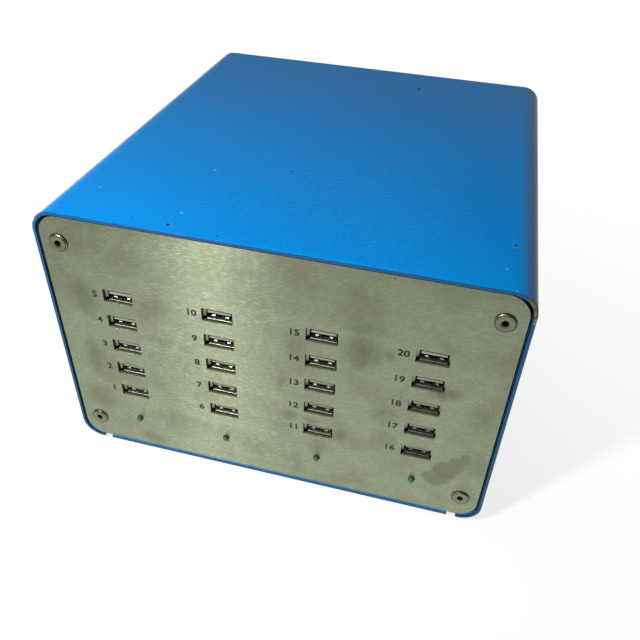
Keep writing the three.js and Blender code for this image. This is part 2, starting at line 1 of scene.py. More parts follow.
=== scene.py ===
# %% [markdown]
# # A bench duplicator for USB flash drives
# The real object is a blue sheet-metal case with a brushed steel front. Twenty sockets sit behind
# the front in four columns, each column with a green lamp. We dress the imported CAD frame: a piece
# whose CAD shape is right only gets a finish, and a piece that shows close up is modelled again
# with bmesh operators, in the place that the CAD gives it.

# %% Load the frame
import bmesh
import bpy
from bmesh.types import BMEdge, BMFace, BMVert
from math import cos, pi, radians, sin
from mathutils import Matrix, Vector


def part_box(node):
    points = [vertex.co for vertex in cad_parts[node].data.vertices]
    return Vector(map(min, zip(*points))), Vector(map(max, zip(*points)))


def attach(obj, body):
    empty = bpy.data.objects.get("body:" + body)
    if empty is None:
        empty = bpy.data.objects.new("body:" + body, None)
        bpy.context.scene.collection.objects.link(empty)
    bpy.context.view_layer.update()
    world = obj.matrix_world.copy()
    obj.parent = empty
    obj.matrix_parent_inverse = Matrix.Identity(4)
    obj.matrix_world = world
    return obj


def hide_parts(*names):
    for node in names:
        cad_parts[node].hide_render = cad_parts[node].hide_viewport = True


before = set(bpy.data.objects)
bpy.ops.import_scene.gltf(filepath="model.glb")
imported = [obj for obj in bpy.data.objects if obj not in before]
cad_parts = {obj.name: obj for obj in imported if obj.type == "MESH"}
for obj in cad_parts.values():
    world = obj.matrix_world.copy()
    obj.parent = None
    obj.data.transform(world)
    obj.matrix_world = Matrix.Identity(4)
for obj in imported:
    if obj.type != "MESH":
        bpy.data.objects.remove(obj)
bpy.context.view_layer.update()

# %% [markdown]
# ## Units
# Blender works in metres, and a maker thinks in millimetres. Every piece is shaped in millimetres
# and scaled once, when it is finished.

# %% Millimetres
MM = 0.001


def box_mm(node):
    low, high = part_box(node)
    return low / MM, high / MM


def middle_mm(node):
    low, high = box_mm(node)
    return (low + high) / 2


panel_low, panel_high = box_mm("front_panel")
panel_middle = middle_mm("front_panel")
case_low, case_high = box_mm("cover")
print("case", [round(v, 1) for v in case_high - case_low], "mm")

# %% [markdown]
# ## Camera
# The photograph was taken from close by, a little to the right and well above the front. Its lens
# and place come from the screws and cut-outs of the panel, whose spacing is known. The camera's own
# axes are set directly, because a target point alone would lose its slight roll.

# %% Camera
camera_data = bpy.data.cameras.new("camera")
camera_data.sensor_width = 36
camera_data.lens = 37.72
camera_data.shift_x = -0.0034
camera_data.shift_y = -0.0277
camera_data.clip_start = 0.01
camera = bpy.data.objects.new("camera", camera_data)
bpy.context.scene.collection.objects.link(camera)
forward = Vector((-0.1751, 0.7717, -0.6115)).normalized()
up = Vector((0.9685, 0.2467, 0.0340)).cross(forward).normalized()
right = forward.cross(up)
axes = Matrix((right, up, -forward)).transposed().to_4x4()
camera.matrix_world = Matrix.Translation((0.0746, -0.3409, 0.3037)) @ axes
bpy.context.scene.camera = camera
bpy.context.scene.view_settings.view_transform = "Standard"
print("camera at", [round(v, 3) for v in camera.matrix_world.translation])

# %% [markdown]
# ## Colours and nodes
# Finishes are written as sRGB hex values, as a colour picker shows them, and one function turns
# them to the linear values that shaders use. One more function adds any node with its settings and
# links, so that a material reads from top to bottom like a recipe.

# %% Colours and nodes
SMOOTH = {"interpolation_type": "SMOOTHSTEP"}
COLOURS = {"data_type": "RGBA"}
SHARE, UNDER, OVER = 0, 6, 7   # a Mix node's inputs for two colours: how much of the upper one


def linear(hex_colour):
    shares = [int(hex_colour[i:i + 2], 16) / 255 for i in (1, 3, 5)]
    return tuple(s / 12.92 if s <= 0.04045 else ((s + 0.055) / 1.055) ** 2.4 for s in shares) + (1.0,)


def feed(node, inputs):
    """Fill a node's inputs: a node or one output of it is linked, and anything else is the value"""
    for name, value in inputs.items():
        if isinstance(value, bpy.types.Node):
            value = next(output for output in value.outputs if output.enabled)
        if isinstance(value, bpy.types.NodeSocket):
            node.id_data.links.new(value, node.inputs[name])
        else:
            node.inputs[name].default_value = value


def add_node(tree, kind, inputs=None, **settings):
    node = tree.nodes.new("ShaderNode" + kind)
    for name, value in settings.items():
        setattr(node, name, value)
    feed(node, inputs or {})
    return node


def new_material(name, inputs):
    """A material, its node tree, its shader and the place on the object, which patterns read"""
    material = bpy.data.materials.new(name)
    material.use_nodes = True
    tree = material.node_tree
    shader = tree.nodes["Principled BSDF"]
    feed(shader, inputs)
    return material, tree, shader, add_node(tree, "TexCoord").outputs["Object"]


def per_mm(size):
    """The scale of a pattern on Object coordinates whose features are this many millimetres apart"""
    return 1 / (size * MM)


print("blue enamel in linear values", [round(v, 3) for v in linear("#008CE4")])

# %% [markdown]
# ## Lamps, world and floor
# One lamp stands close by at the front left, where the real one was: near enough that the top fades
# towards its far corner, and small enough to leave a narrow streak on the brushed front. A large
# softbox overhead fills the shadows. The world is darker towards the front and overhead, so the
# glossy paint picks up a pale veil only at its flat viewing angle far back. The floor is white
# paper: part of its white is its own, so it stays pale while it still shows the shadow.

# %% Lamps


def add_softbox(name, size, energy, place, aim):
    light = bpy.data.lights.new(name, "AREA")
    light.shape = "DISK"
    light.size = size
    light.energy = energy
    lamp = bpy.data.objects.new(name, light)
    lamp.location = place
    lamp.rotation_euler = (Vector(aim) - lamp.location).to_track_quat("-Z", "Y").to_euler()
    bpy.context.scene.collection.objects.link(lamp)
    print(name, "at", [round(v, 2) for v in lamp.location])


add_softbox("key_softbox", 0.05, 2.3, (-0.165, -0.39, 0.41), (0, -0.06, 0.12))
add_softbox("overhead_softbox", 0.9, 1.1, (0.05, 0.15, 1.2), (0.02, 0.0, 0.1))

# %% World
world = bpy.data.worlds.new("studio")
bpy.context.scene.world = world
world.use_nodes = True
sky = world.node_tree
towards = add_node(sky, "SeparateXYZ", {"Vector": add_node(sky, "TexCoord").outputs["Generated"]})
veil = add_node(sky, "MapRange", {
    "Value": towards.outputs["Z"], "From Min": 0.33, "From Max": 0.52,
    "To Min": 0.27, "To Max": 0.02}, **SMOOTH)
front_dark = add_node(sky, "MapRange", {
    "Value": towards.outputs["Y"], "From Min": -0.5, "From Max": 0.3, "To Min": 0.45}, **SMOOTH)
veil = add_node(sky, "Math", {0: veil, 1: front_dark}, operation="MULTIPLY")
# Past the edge of the paper the camera sees plain white
to_camera = add_node(sky, "LightPath").outputs["Is Camera Ray"]
strength = add_node(sky, "Mix", {0: to_camera, 2: veil, 3: 1.0}, data_type="FLOAT")
air = add_node(sky, "Mix", {SHARE: to_camera, UNDER: linear("#EEF7EE"), OVER: (1, 1, 1, 1)}, **COLOURS)
feed(sky.nodes["Background"], {"Strength": strength, "Color": air})
print("world set")

# %% Floor
bm = bmesh.new()
bmesh.ops.create_grid(bm, x_segments=1, y_segments=1, size=6)
floor_mesh = bpy.data.meshes.new("floor")
bm.to_mesh(floor_mesh)
bm.free()
floor = bpy.data.objects.new("floor", floor_mesh)
bpy.context.scene.collection.objects.link(floor)
paper, tree, shader, place = new_material("white background paper", {
    "Base Color": linear("#909090"), "Roughness": 0.9, "Emission Color": (1, 1, 1, 1)})
floor_mesh.materials.append(paper)
# The room in front of the paper was dim, and the steel front mirrors it in its upper half. It was
# dim at the right too, so the right-hand bend stays blue.
spread = add_node(tree, "SeparateXYZ", {"Vector": place})
lit_room = add_node(tree, "MapRange", {
    "Value": spread.outputs["Y"], "From Min": -0.5, "From Max": -0.22, "To Min": 0.4}, **SMOOTH)
lit_side = add_node(tree, "MapRange", {
    "Value": spread.outputs["X"], "From Min": 0.13, "From Max": 0.3, "To Min": 1.0, "To Max": 0.3}, **SMOOTH)
mirrored = add_node(tree, "Math", {0: lit_room, 1: lit_side}, operation="MULTIPLY")
ray = add_node(tree, "LightPath")
mirrored = add_node(tree, "Math", {0: ray.outputs["Is Glossy Ray"], 1: mirrored}, operation="MULTIPLY")
seen = add_node(tree, "Math", {0: ray.outputs["Is Camera Ray"], 1: mirrored}, operation="MAXIMUM")
seen = add_node(tree, "Math", {0: seen, 1: ray.outputs["Is Transmission Ray"]}, operation="MAXIMUM")
# The paper's own white grows away from the lamp, as its lit white falls off
from_lamp = add_node(tree, "VectorMath", {0: place, 1: (-0.12, -0.4, 0.0)}, operation="DISTANCE")
own_white = add_node(tree, "MapRange", {
    "Value": from_lamp, "From Min": 0.1, "From Max": 0.8, "To Min": 0.74, "To Max": 0.97}, **SMOOTH)
feed(shader, {"Emission Strength": add_node(tree, "Math", {0: seen, 1: own_white}, operation="MULTIPLY")})
print("floor", floor.dimensions[:])

# %% [markdown]
# ## Finishing a piece
# Each bmesh becomes one object in the same way: scaled to metres, shaded smooth up to a crease
# angle and tied to the CAD body that carries it, and the CAD node it stands for is hidden. Real sheet and
# moulded parts have no knife edges, so sharp edges are rounded by a bevel before that.

# %% Helpers for pieces


def bevel(bm, geom, width, segments, affect="EDGES", clamp=False):
    bmesh.ops.bevel(bm, geom=geom, affect=affect, offset=width, offset_type="OFFSET",
                    segments=segments, profile=0.5, material=-1, clamp_overlap=clamp)


def round_edges(bm, width, segments=2, sharper_than=40):
    sharp = [e for e in bm.edges if e.is_manifold and e.calc_face_angle() > radians(sharper_than)]
    bevel(bm, sharp, width, segments, clamp=True)


def finish_piece(bm, name, materials, body="case", stands_for=(), crease=35):
    bmesh.ops.scale(bm, vec=(MM, MM, MM), verts=bm.verts)
    mesh = bpy.data.meshes.new(name)
    bm.to_mesh(mesh)
    bm.free()
    mesh.shade_smooth()
    mesh.set_sharp_from_angle(angle=radians(crease))
    for material in materials:
        mesh.materials.append(material)
    piece = bpy.data.objects.new(name, mesh)
    bpy.context.scene.collection.objects.link(piece)
    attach(piece, body)
    if stands_for:
        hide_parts(*stands_for)


# %% Helpers for bmeshes


def only(kind, made):
    """The vertices, edges or faces among the mixed results of an operator"""
    return [item for item in made if isinstance(item, kind)]


def move(bm, step, verts=None):
    bmesh.ops.translate(bm, vec=step, verts=bm.verts if verts is None else verts)


def turn(bm, angle, axis, verts=None):
    matrix = Matrix.Rotation(angle, 3, axis)
    bmesh.ops.rotate(bm, cent=(0, 0, 0), matrix=matrix, verts=bm.verts if verts is None else verts)


def face_outwards(bm):
    bmesh.ops.recalc_face_normals(bm, faces=bm.faces)


def cut_across(bm, through, normal):
    whole = bm.verts[:] + bm.edges[:] + bm.faces[:]
    bmesh.ops.bisect_plane(bm, geom=whole, dist=0.0001, plane_co=through, plane_no=normal)


def draw_out(bm, edges, step):
    """Draw edges out by a step; the results are the new vertices, far edges and faces"""
    made = bmesh.ops.extrude_edge_only(bm, edges=edges)["geom"]
    verts = only(BMVert, made)
    move(bm, step, verts)
    return verts, [e for e in only(BMEdge, made) if all(v in verts for v in e.verts)], only(BMFace, made)


def add_box(bm, size, centre):
    made = bmesh.ops.create_cube(bm, size=1)["verts"]
    bmesh.ops.scale(bm, vec=size, verts=made)
    move(bm, centre, made)


def add_path(bm, points):
    verts = [bm.verts.new(point) for point in points]
    return verts, [bm.edges.new(pair) for pair in zip(verts, verts[1:])]


def thicken(bm, step):
    """Draw a flat area out to a slab"""
    made = bmesh.ops.extrude_face_region(bm, geom=bm.faces[:])["geom"]
    move(bm, step, only(BMVert, made))


def turn_solid(outline, steps):
    """Spin an outline of radii and depths round the Y axis, as a lathe would"""
    bm = bmesh.new()
    verts, edges = add_path(bm, [(radius, y, 0) for radius, y in outline])
    bmesh.ops.spin(bm, geom=verts + edges, cent=(0, 0, 0), axis=(0, 1, 0), angle=2 * pi, steps=steps,
                   use_merge=True, use_duplicate=False)
    bmesh.ops.remove_doubles(bm, verts=bm.verts, dist=0.001)
    return bm


print("helpers ready")

# %% [markdown]
# ## Flat sheets with holes
# The front panel is laser-cut from sheet. We draw the outline and every hole as loose loops of edges
# and fill the area between them. That keeps each hole exact, where cutting with booleans would
# leave slivers.

# %% Sheets from loops


def add_loop(bm, x, z, width, height, corner, segments):
    before = set(bm.verts)
    made = bmesh.ops.create_grid(bm, x_segments=1, y_segments=1, size=0.5)["verts"]
    face = made[0].link_faces[0]
    bmesh.ops.scale(bm, vec=(width, height, 1), verts=made)
    bmesh.ops.delete(bm, geom=[face], context="FACES_ONLY")
    bevel(bm, made, corner, segments, affect="VERTICES")
    new = [v for v in bm.verts if v not in before]
    turn(bm, pi / 2, "X", new)
    move(bm, (x, 0, z), new)


def add_ring(bm, x, z, radius, segments=28):
    made = bmesh.ops.create_circle(bm, cap_ends=False, radius=radius, segments=segments)["verts"]
    turn(bm, pi / 2, "X", made)
    move(bm, (x, 0, z), made)


def fill_sheet(bm, front, back):
    """Fill between all loops and give the sheet its thickness, from one depth to the other"""
    bmesh.ops.triangle_fill(bm, use_beauty=True, edges=bm.edges[:], normal=(0, -1, 0))
    move(bm, (0, front, 0))
    thicken(bm, (0, back - front, 0))
    face_outwards(bm)


print("sheet helpers ready")

# %% [markdown]
# ## Patterns that several finishes share
# Real marks are never clean-edged or evenly laid. One pattern pushes places about, so that a round
# spot gets a ragged border, and one scatters small dark points. Two more let the colour swing
# between two tones, or go over to a third with depth.

# %% Shared patterns


def pushed_about(tree, place, reach, noise):
    """Places pushed about by a noise, at most half this many millimetres along each axis"""
    push = add_node(tree, "TexNoise", {"Vector": place, **noise})
    push = add_node(tree, "VectorMath", {0: push.outputs["Color"], 1: (0.5, 0.5, 0.5)}, operation="SUBTRACT")
    push = add_node(tree, "VectorMath", {0: push, "Scale": reach * MM}, operation="SCALE")
    return add_node(tree, "VectorMath", {0: place, 1: push}, operation="ADD")


def scattered(tree, place, apart, shown, strength):
    """Dark points, as wide as a tenth of their distance in millimetres; only a share is shown"""
    cells = add_node(tree, "TexVoronoi", {"Vector": place, "Scale": per_mm(apart)})
    near = add_node(tree, "MapRange", {
        "Value": cells.outputs["Distance"], "From Min": 0.03, "From Max": 0.06,
        "To Min": strength, "To Max": 0.0})
    chosen = add_node(tree, "SeparateColor", {"Color": cells.outputs["Color"]})
    chosen = add_node(tree, "Math", {0: chosen, 1: 1 - shown}, operation="GREATER_THAN")
    return add_node(tree, "Math", {0: near, 1: chosen}, operation="MULTIPLY")


def mottle(tree, shader, pattern, dark, light, rough=None):
    """Let a pattern swing the colour between two tones, and the roughness between two values"""
    tone = add_node(tree, "Mix", {SHARE: pattern, UNDER: linear(dark), OVER: linear(light)}, **COLOURS)
    feed(shader, {"Base Color": tone})
    if rough:
        feed(shader, {"Roughness": add_node(tree, "MapRange", {
            "Value": pattern, "From Min": 0.3, "From Max": 0.7, "To Min": rough[0], "To Max": rough[1]})})
    return tone


def shift_with_depth(tree, shader, place, tone, start, full, hex_colour):
    """Let the colour go over to another between two depths, in millimetres"""
    depth = add_node(tree, "SeparateXYZ", {"Vector": place}).outputs["Y"]
    share = add_node(tree, "MapRange", {
        "Value": depth, "From Min": start * MM, "From Max": full * MM}, **SMOOTH)
    tone = add_node(tree, "Mix", {SHARE: share, UNDER: tone, OVER: linear(hex_colour)}, **COLOURS)
    feed(shader, {"Base Color": tone})


print("pattern helpers ready")

# %% [markdown]
# ## Blue enamel
# The cover is steel sheet with a glossy baked enamel: a clear saturated blue with a faint orange
# peel, stretched sideways as it ran while wet. Specks of dust are caught in it. Where the case was
# knocked it is chipped to the dark primer, and each chip has a lighter rim where the enamel lifted.
# The corners are worn to grey steel, most of all at the right front. These marks are listed in
# millimetres, as on the real case.

# %% Baked blue enamel
enamel, tree, shader, place = new_material("baked blue enamel on steel", {
    "IOR": 1.5, "Specular IOR Level": 0.42})
clouds = add_node(tree, "TexNoise", {"Vector": place, "Scale": per_mm(60), "Detail": 3})
blue = add_node(tree, "Mix", {SHARE: clouds, UNDER: linear("#008CE4"), OVER: linear("#0096EE")}, **COLOURS)
# Painted shade on the cut rims: the end faces and the last 0.3 mm at the front and back ends are a darker
# blue
depth = add_node(tree, "SeparateXYZ", {"Vector": place}).outputs["Y"]
from_middle = add_node(tree, "Math", {0: depth, 1: (case_low.y + case_high.y) / 2 * MM}, operation="SUBTRACT")
from_middle = add_node(tree, "Math", {0: from_middle}, operation="ABSOLUTE")
half_long = (case_high.y - case_low.y) / 2
rim_shade = add_node(tree, "MapRange", {
    "Value": from_middle, "From Min": (half_long - 0.3) * MM, "From Max": (half_long - 0.1) * MM}, **SMOOTH)
blue = add_node(tree, "Mix", {SHARE: rim_shade, UNDER: blue, OVER: linear("#00558A")}, **COLOURS)
# Specks of dust are up to 0.6 mm wide
speck = scattered(tree, place, apart=7, shown=0.25, strength=0.55)
specked = add_node(tree, "Mix", {SHARE: speck, UNDER: blue, OVER: linear("#0B3A5E")}, **COLOURS)
print("enamel colour, dark rims and specks")

# %% Ragged outlines for the marks
# Places are pushed about by around 0.5 mm before any distance is taken
torn = pushed_about(tree, place, 2.4, {"Scale": per_mm(1.6), "Detail": 3})


def nearest_of(spots):
    """The distance to the nearest spot, as a share of its reach; spots are x, y, z and reach in mm"""
    nearest = None
    for x, y, z, reach in spots:
        away = add_node(tree, "VectorMath", {0: torn, 1: (x * MM, y * MM, z * MM)}, operation="DISTANCE")
        share = add_node(tree, "Math", {0: away, 1: reach * MM}, operation="DIVIDE")
        nearest = add_node(tree, "Math", {0: nearest, 1: share}, operation="MINIMUM") if nearest else share
    return nearest


# %% Chips in the enamel
top_z, front_y, back_y = case_high.z, case_low.y, case_high.y
chips = [
    (-64.6, -112.3, 0.7), (-47.3, -112.7, 1.0), (-23.2, -114.9, 0.8), (-10.5, -47.7, 0.8), (37.3, -30.8, 0.5),
    (57.3, 2.2, 0.5), (10.4, -41.5, 0.45), (34.8, 89.2, 1.3), (37.5, 86.0, 0.7), (13.3, 71.0, 0.6),
    (3.5, 60.9, 0.7), (20.7, 52.3, 0.5), (42.2, 49.0, 0.6), (100.2, -76.0, 0.7), (100.4, -84.3, 0.7),
    (100.6, -87.9, 0.6), (99.3, -89.5, 0.5), (-51.5, 3.5, 0.6), (-53.5, 3.0, 0.5), (-33.5, 17.2, 0.6)]
knocks = nearest_of([(x, y, top_z, reach) for x, y, reach in chips])
chip = add_node(tree, "MapRange", {"Value": knocks, "From Min": 0.75, "To Min": 1.0, "To Max": 0.0})
lifted = add_node(tree, "MapRange", {
    "Value": knocks, "From Min": 1.1, "From Max": 1.5, "To Min": 0.18, "To Max": 0.0})
pale_flecks = [
    (-45.6, -101.8, top_z, 0.6), (-47.2, -57.9, top_z, 0.7), (-91.4, -90.8, top_z, 0.45),
    (101.8, front_y + 0.8, top_z, 0.6), (97.3, -103.7, top_z, 0.5),
    (105.5, front_y + 0.2, case_low.z + 1.2, 0.8)]
fleck = add_node(tree, "MapRange", {
    "Value": nearest_of(pale_flecks), "From Min": 0.6, "To Min": 0.7, "To Max": 0.0})
pale = add_node(tree, "Math", {0: lifted, 1: fleck}, operation="MAXIMUM")
flecked = add_node(tree, "Mix", {SHARE: pale, UNDER: specked, OVER: linear("#9CCBE8")}, **COLOURS)
chipped = add_node(tree, "Mix", {SHARE: chip, UNDER: flecked, OVER: linear("#0E2A3C")}, **COLOURS)
print(len(chips), "chips and", len(pale_flecks), "pale flecks")

# %% Worn corners
worn_spots = [
    (111.4, front_y + 0.9, 142.2, 3.3), (112.0, front_y + 1.6, 139.0, 2.4),
    (109.2, front_y + 0.4, 145.9, 1.9), (107.2, front_y + 0.2, 147.3, 1.1),
    (112.0, front_y + 0.3, 136.4, 1.1), (-110.7, front_y + 0.2, 145.5, 1.5),
    (-109.4, front_y, 147.2, 0.7), (-112.0, front_y, 143.0, 0.6), (-112.0, back_y, 140.0, 1.6),
    (108.8, back_y, 147.6, 2.0), (-109.0, front_y, 4.6, 0.9), (110.6, front_y + 0.3, 6.4, 1.0)]
worn = add_node(tree, "MapRange", {
    "Value": nearest_of(worn_spots), "From Min": 0.85, "To Min": 1.0, "To Max": 0.0})
scuffed = add_node(tree, "TexNoise", {"Vector": place, "Scale": per_mm(2.5), "Detail": 3})
scuffed = add_node(tree, "MapRange", {"Value": scuffed, "From Min": 0.42, "From Max": 0.62})
under = add_node(tree, "Mix", {SHARE: scuffed, UNDER: linear("#5A5D52"), OVER: linear("#9A9C8C")}, **COLOURS)
finish = add_node(tree, "Mix", {SHARE: worn, UNDER: chipped, OVER: under}, **COLOURS)
metal_share = add_node(tree, "Math", {0: worn, 1: 0.35}, operation="MULTIPLY")
feed(shader, {"Base Color": finish, "Metallic": metal_share})
print(len(worn_spots), "worn spots")

# %% Gloss and relief of the enamel
bare = add_node(tree, "Math", {0: worn, 1: chip}, operation="MAXIMUM")
gloss = add_node(tree, "MapRange", {
    "Value": clouds, "From Min": 0.3, "From Max": 0.7, "To Min": 0.16, "To Max": 0.24})
gloss = add_node(tree, "Math", {0: bare, 1: 0.2, 2: gloss}, operation="MULTIPLY_ADD")
# Orange peel: 1.6 mm from crest to crest, and half as much again sideways
run = add_node(tree, "Mapping", {"Vector": place, "Scale": (0.65, 1.0, 1.0)})
peel = add_node(tree, "TexNoise", {"Vector": run, "Scale": per_mm(1.6)})
# It is stronger in the middle of the front, where the enamel ran thickest
thick = add_node(tree, "VectorMath", {0: place, 1: (0.01, -0.085, 0.15)}, operation="DISTANCE")
thick = add_node(tree, "MapRange", {
    "Value": thick, "From Min": 0.02, "From Max": 0.1, "To Min": 1.0, "To Max": 0.35}, **SMOOTH)
peel = add_node(tree, "Math", {0: peel, 1: thick}, operation="MULTIPLY")
# It drew thin and even over the cut ends
even = add_node(tree, "MapRange", {
    "Value": from_middle, "From Min": (half_long - 2.0) * MM, "From Max": (half_long - 0.8) * MM,
    "To Min": 1.0, "To Max": 0.1}, **SMOOTH)
peel = add_node(tree, "Math", {0: peel, 1: even}, operation="MULTIPLY")
relief = add_node(tree, "Math", {0: bare, 1: -0.8, 2: peel}, operation="MULTIPLY_ADD")
bump = add_node(tree, "Bump", {"Height": relief, "Strength": 0.8, "Distance": 0.45 * MM})
feed(shader, {"Roughness": gloss, "Normal": bump})
print(enamel.name, len(tree.nodes), "nodes")

# %% [markdown]
# ## Brushed stainless steel
# The front is stainless sheet brushed sideways. The fine grooves spread the light up and down, so
# the lamp leaves a tall grainy streak. Years of handling have left dull brown stains, dried
# watermarks and a few pits. The stains are soft spots of chosen size, laid where the real panel has
# its largest, and broken up by noise so that no border is clean.

# %% Brushed stainless steel
steel, tree, shader, place = new_material("brushed stainless steel", {
    "Metallic": 1.0, "Anisotropic": 1.0, "Anisotropic Rotation": 0.25})
feed(shader, {"Tangent": add_node(tree, "Tangent", direction_type="RADIAL", axis="Z")})
# Real brush marks are about 0.1 mm apart; these are 0.5 mm, so that they show, and 3.5 mm long
brush_place = add_node(tree, "Mapping", {"Vector": place, "Scale": (0.14, 1.0, 1.0)})
brush = add_node(tree, "TexNoise", {
    "Vector": brush_place, "Scale": per_mm(0.5), "Detail": 3, "Roughness": 0.6})
# The belt also left broader bands, 3 mm apart and 150 mm long
band_place = add_node(tree, "Mapping", {"Vector": place, "Scale": (0.02, 1.0, 1.0)})
band = add_node(tree, "TexNoise", {"Vector": band_place, "Scale": per_mm(3)})
grain = add_node(tree, "Math", {0: band, 1: 0.2, 2: brush}, operation="MULTIPLY_ADD")
grain = add_node(tree, "MapRange", {"Value": grain, "From Min": 0.56, "From Max": 0.9})
sheen = add_node(tree, "Mix", {SHARE: grain, UNDER: linear("#929B80"), OVER: linear("#BAC3A2")}, **COLOURS)
smudge = add_node(tree, "TexNoise", {"Vector": place, "Scale": per_mm(24), "Detail": 5, "Roughness": 0.62})
cloudy = add_node(tree, "MapRange", {
    "Value": smudge, "From Min": 0.42, "From Max": 0.72, "To Max": 0.38}, **SMOOTH)
dulled = add_node(tree, "Mix", {SHARE: cloudy, UNDER: sheen, OVER: linear("#78745C")}, **COLOURS)
print("brush marks and haze")

# %% Places of the stains
# Each mark: x and z from the middle of the panel, half width, half height and strength. Smudges
# fade over their whole width, and the one spill, low at the right, has a firm border.
spills = [
    (86, -47, 7, 6, 0.38), (90, -41, 6.5, 7, 0.38), (94.5, -35, 4.5, 6, 0.38), (98, -29.5, 3, 4.5, 0.34)]
smudges = [
    (44, 27, 9, 11, 0.34), (44, 41, 12, 5, 0.25), (56, 28, 2.5, 4, 0.3), (83, 11.5, 7, 4, 0.34),
    (12, 21, 6, 7, 0.22), (10, -24, 4, 3.5, 0.34), (21, -24, 4.5, 2.5, 0.25), (35.5, -31, 3.5, 5, 0.28),
    (5.6, 0, 3, 7, 0.22), (57, -10, 6.5, 8.5, 0.28), (58, -24, 6, 6, 0.2), (-56, 30, 7.5, 5, 0.22),
    (-54.5, 9.5, 9, 4, 0.32), (-42, 7.5, 6, 3.5, 0.22), (-56, -6, 9, 10, 0.14), (-93, 27, 6.5, 12, 0.3),
    (-94.5, -10, 5, 12, 0.3), (-97, -40, 8, 8, 0.26), (-68.7, -65.5, 7, 5, 0.34), (-53, -47, 13, 9, 0.16),
    (24, -44, 5, 7, 0.24), (-24.4, -60, 5, 7, 0.24), (-13, -50, 9, 9, 0.16), (14, -62.6, 4, 8, 0.2),
    (102, 0, 7, 10, 0.2), (103, -31, 7, 10, 0.22), (0, 46, 16, 7, 0.14)]
FIRM, SOFT = (0.7, 1.15), (0.2, 1.5)   # full strength and nothing left, as shares of the half size
print(len(spills), "spots of the spill and", len(smudges), "smudges")

# %% Stains on the front
wandering = pushed_about(tree, place, 6, {"Scale": per_mm(10), "Detail": 5, "Roughness": 0.55})
stained = None
for (x, z, wide, tall, strength), (full_to, gone_at) in (
        [(spot, FIRM) for spot in spills] + [(spot, SOFT) for spot in smudges]):
    spot = add_node(tree, "Mapping", {
        "Vector": wandering, "Location": (x * MM, panel_low.y * MM, (panel_middle.z + z) * MM),
        "Scale": (wide * MM, 1.0, tall * MM)}, vector_type="TEXTURE")
    far = add_node(tree, "VectorMath", {0: spot}, operation="LENGTH")
    dark = add_node(tree, "MapRange", {
        "Value": far, "From Min": full_to, "From Max": gone_at, "To Min": strength, "To Max": 0.0}, **SMOOTH)
    stained = add_node(tree, "Math", {0: stained, 1: dark}, operation="MAXIMUM") if stained else dark
# Each stain is thinner in places, in patches 5 mm across
patchy = add_node(tree, "TexNoise", {"Vector": place, "Scale": per_mm(5), "Detail": 4, "Roughness": 0.6})
patchy = add_node(tree, "MapRange", {"Value": patchy, "From Min": 0.35, "From Max": 0.6, "To Min": 0.7})
stained = add_node(tree, "Math", {0: stained, 1: patchy}, operation="MULTIPLY")
marked = add_node(tree, "Mix", {SHARE: stained, UNDER: dulled, OVER: linear("#5A563F")}, **COLOURS)
print("stains laid")

# %% Watermarks, pits and gloss of the front
# A drop dries to a thin pale outline: a narrow band of values of one slow noise
drops = add_node(tree, "TexNoise", {"Vector": wandering, "Scale": per_mm(34), "Detail": 1})
outline = add_node(tree, "Math", {0: drops, 1: 0.53, 2: 0.006}, operation="COMPARE")
outline = add_node(tree, "Math", {0: outline, 1: 0.12}, operation="MULTIPLY")
dried = add_node(tree, "Mix", {SHARE: outline, UNDER: marked, OVER: linear("#C6CCB4")}, **COLOURS)
# Pits are up to 1 mm wide
pit = scattered(tree, place, apart=11, shown=0.2, strength=0.6)
final = add_node(tree, "Mix", {SHARE: pit, UNDER: dried, OVER: linear("#3A3A2E")}, **COLOURS)
# The gaps between grooves shine; grooves and stains are duller
groove = add_node(tree, "MapRange", {"Value": grain, "To Min": 0.25, "To Max": 0.31})
duller = add_node(tree, "Math", {0: stained, 1: 0.12, 2: groove}, operation="MULTIPLY_ADD")
bump = add_node(tree, "Bump", {"Height": grain, "Strength": 0.15, "Distance": 0.08 * MM})
feed(shader, {"Base Color": final, "Roughness": duller, "Normal": bump})
print(steel.name, len(tree.nodes), "nodes")

# %% [markdown]
# ## Smaller metals
# The sockets are tinned and nickel-plated steel, brighter and smoother than the panel. The screws are
# turned stainless with fine rings from the lathe. The rear panel is satin aluminium.

# %% Nickel plate


def plated(name, rough):
    """Thin plate over steel is soft grey with a faint patina 3 mm across"""
    material, tree, shader, place = new_material(name, {"Metallic": 1.0})
    patina = add_node(tree, "TexNoise", {"Vector": place, "Scale": per_mm(3), "Detail": 3})
    mottle(tree, shader, patina, "#8C8B7E", "#B0AFA2", rough)
    bump = add_node(tree, "Bump", {"Height": patina, "Strength": 0.15, "Distance": 0.05 * MM})
    feed(shader, {"Normal": bump})
    print(name)
    return material


nickel = plated("nickel-plated sheet steel", (0.16, 0.22))
rubbed_nickel = plated("nickel plate rubbed by plugs", (0.38, 0.46))

# %% Turned steel
# The lathe leaves rings 0.35 mm apart, so a head glints in circles. Each screw carries its own
# radius in millimetres.
turned, tree, shader, place = new_material("turned stainless steel", {"Metallic": 1.0})
grime = add_node(tree, "TexNoise", {"Vector": place, "Scale": per_mm(2), "Detail": 3})
tone = mottle(tree, shader, grime, "#767A62", "#9A9E84", (0.3, 0.45))
radius = add_node(tree, "Attribute", attribute_name="turning_radius").outputs["Fac"]
rings = add_node(tree, "Math", {0: radius, 1: 2 * pi / 0.35}, operation="MULTIPLY")
rings = add_node(tree, "Math", {0: rings}, operation="SINE")
rings = add_node(tree, "MapRange", {"Value": rings, "From Min": -1.0})
ringed = add_node(tree, "Math", {0: rings, 1: 0.3}, operation="MULTIPLY")
tone = add_node(tree, "Mix", {SHARE: ringed, UNDER: tone, OVER: linear("#5E5E4C")}, **COLOURS)
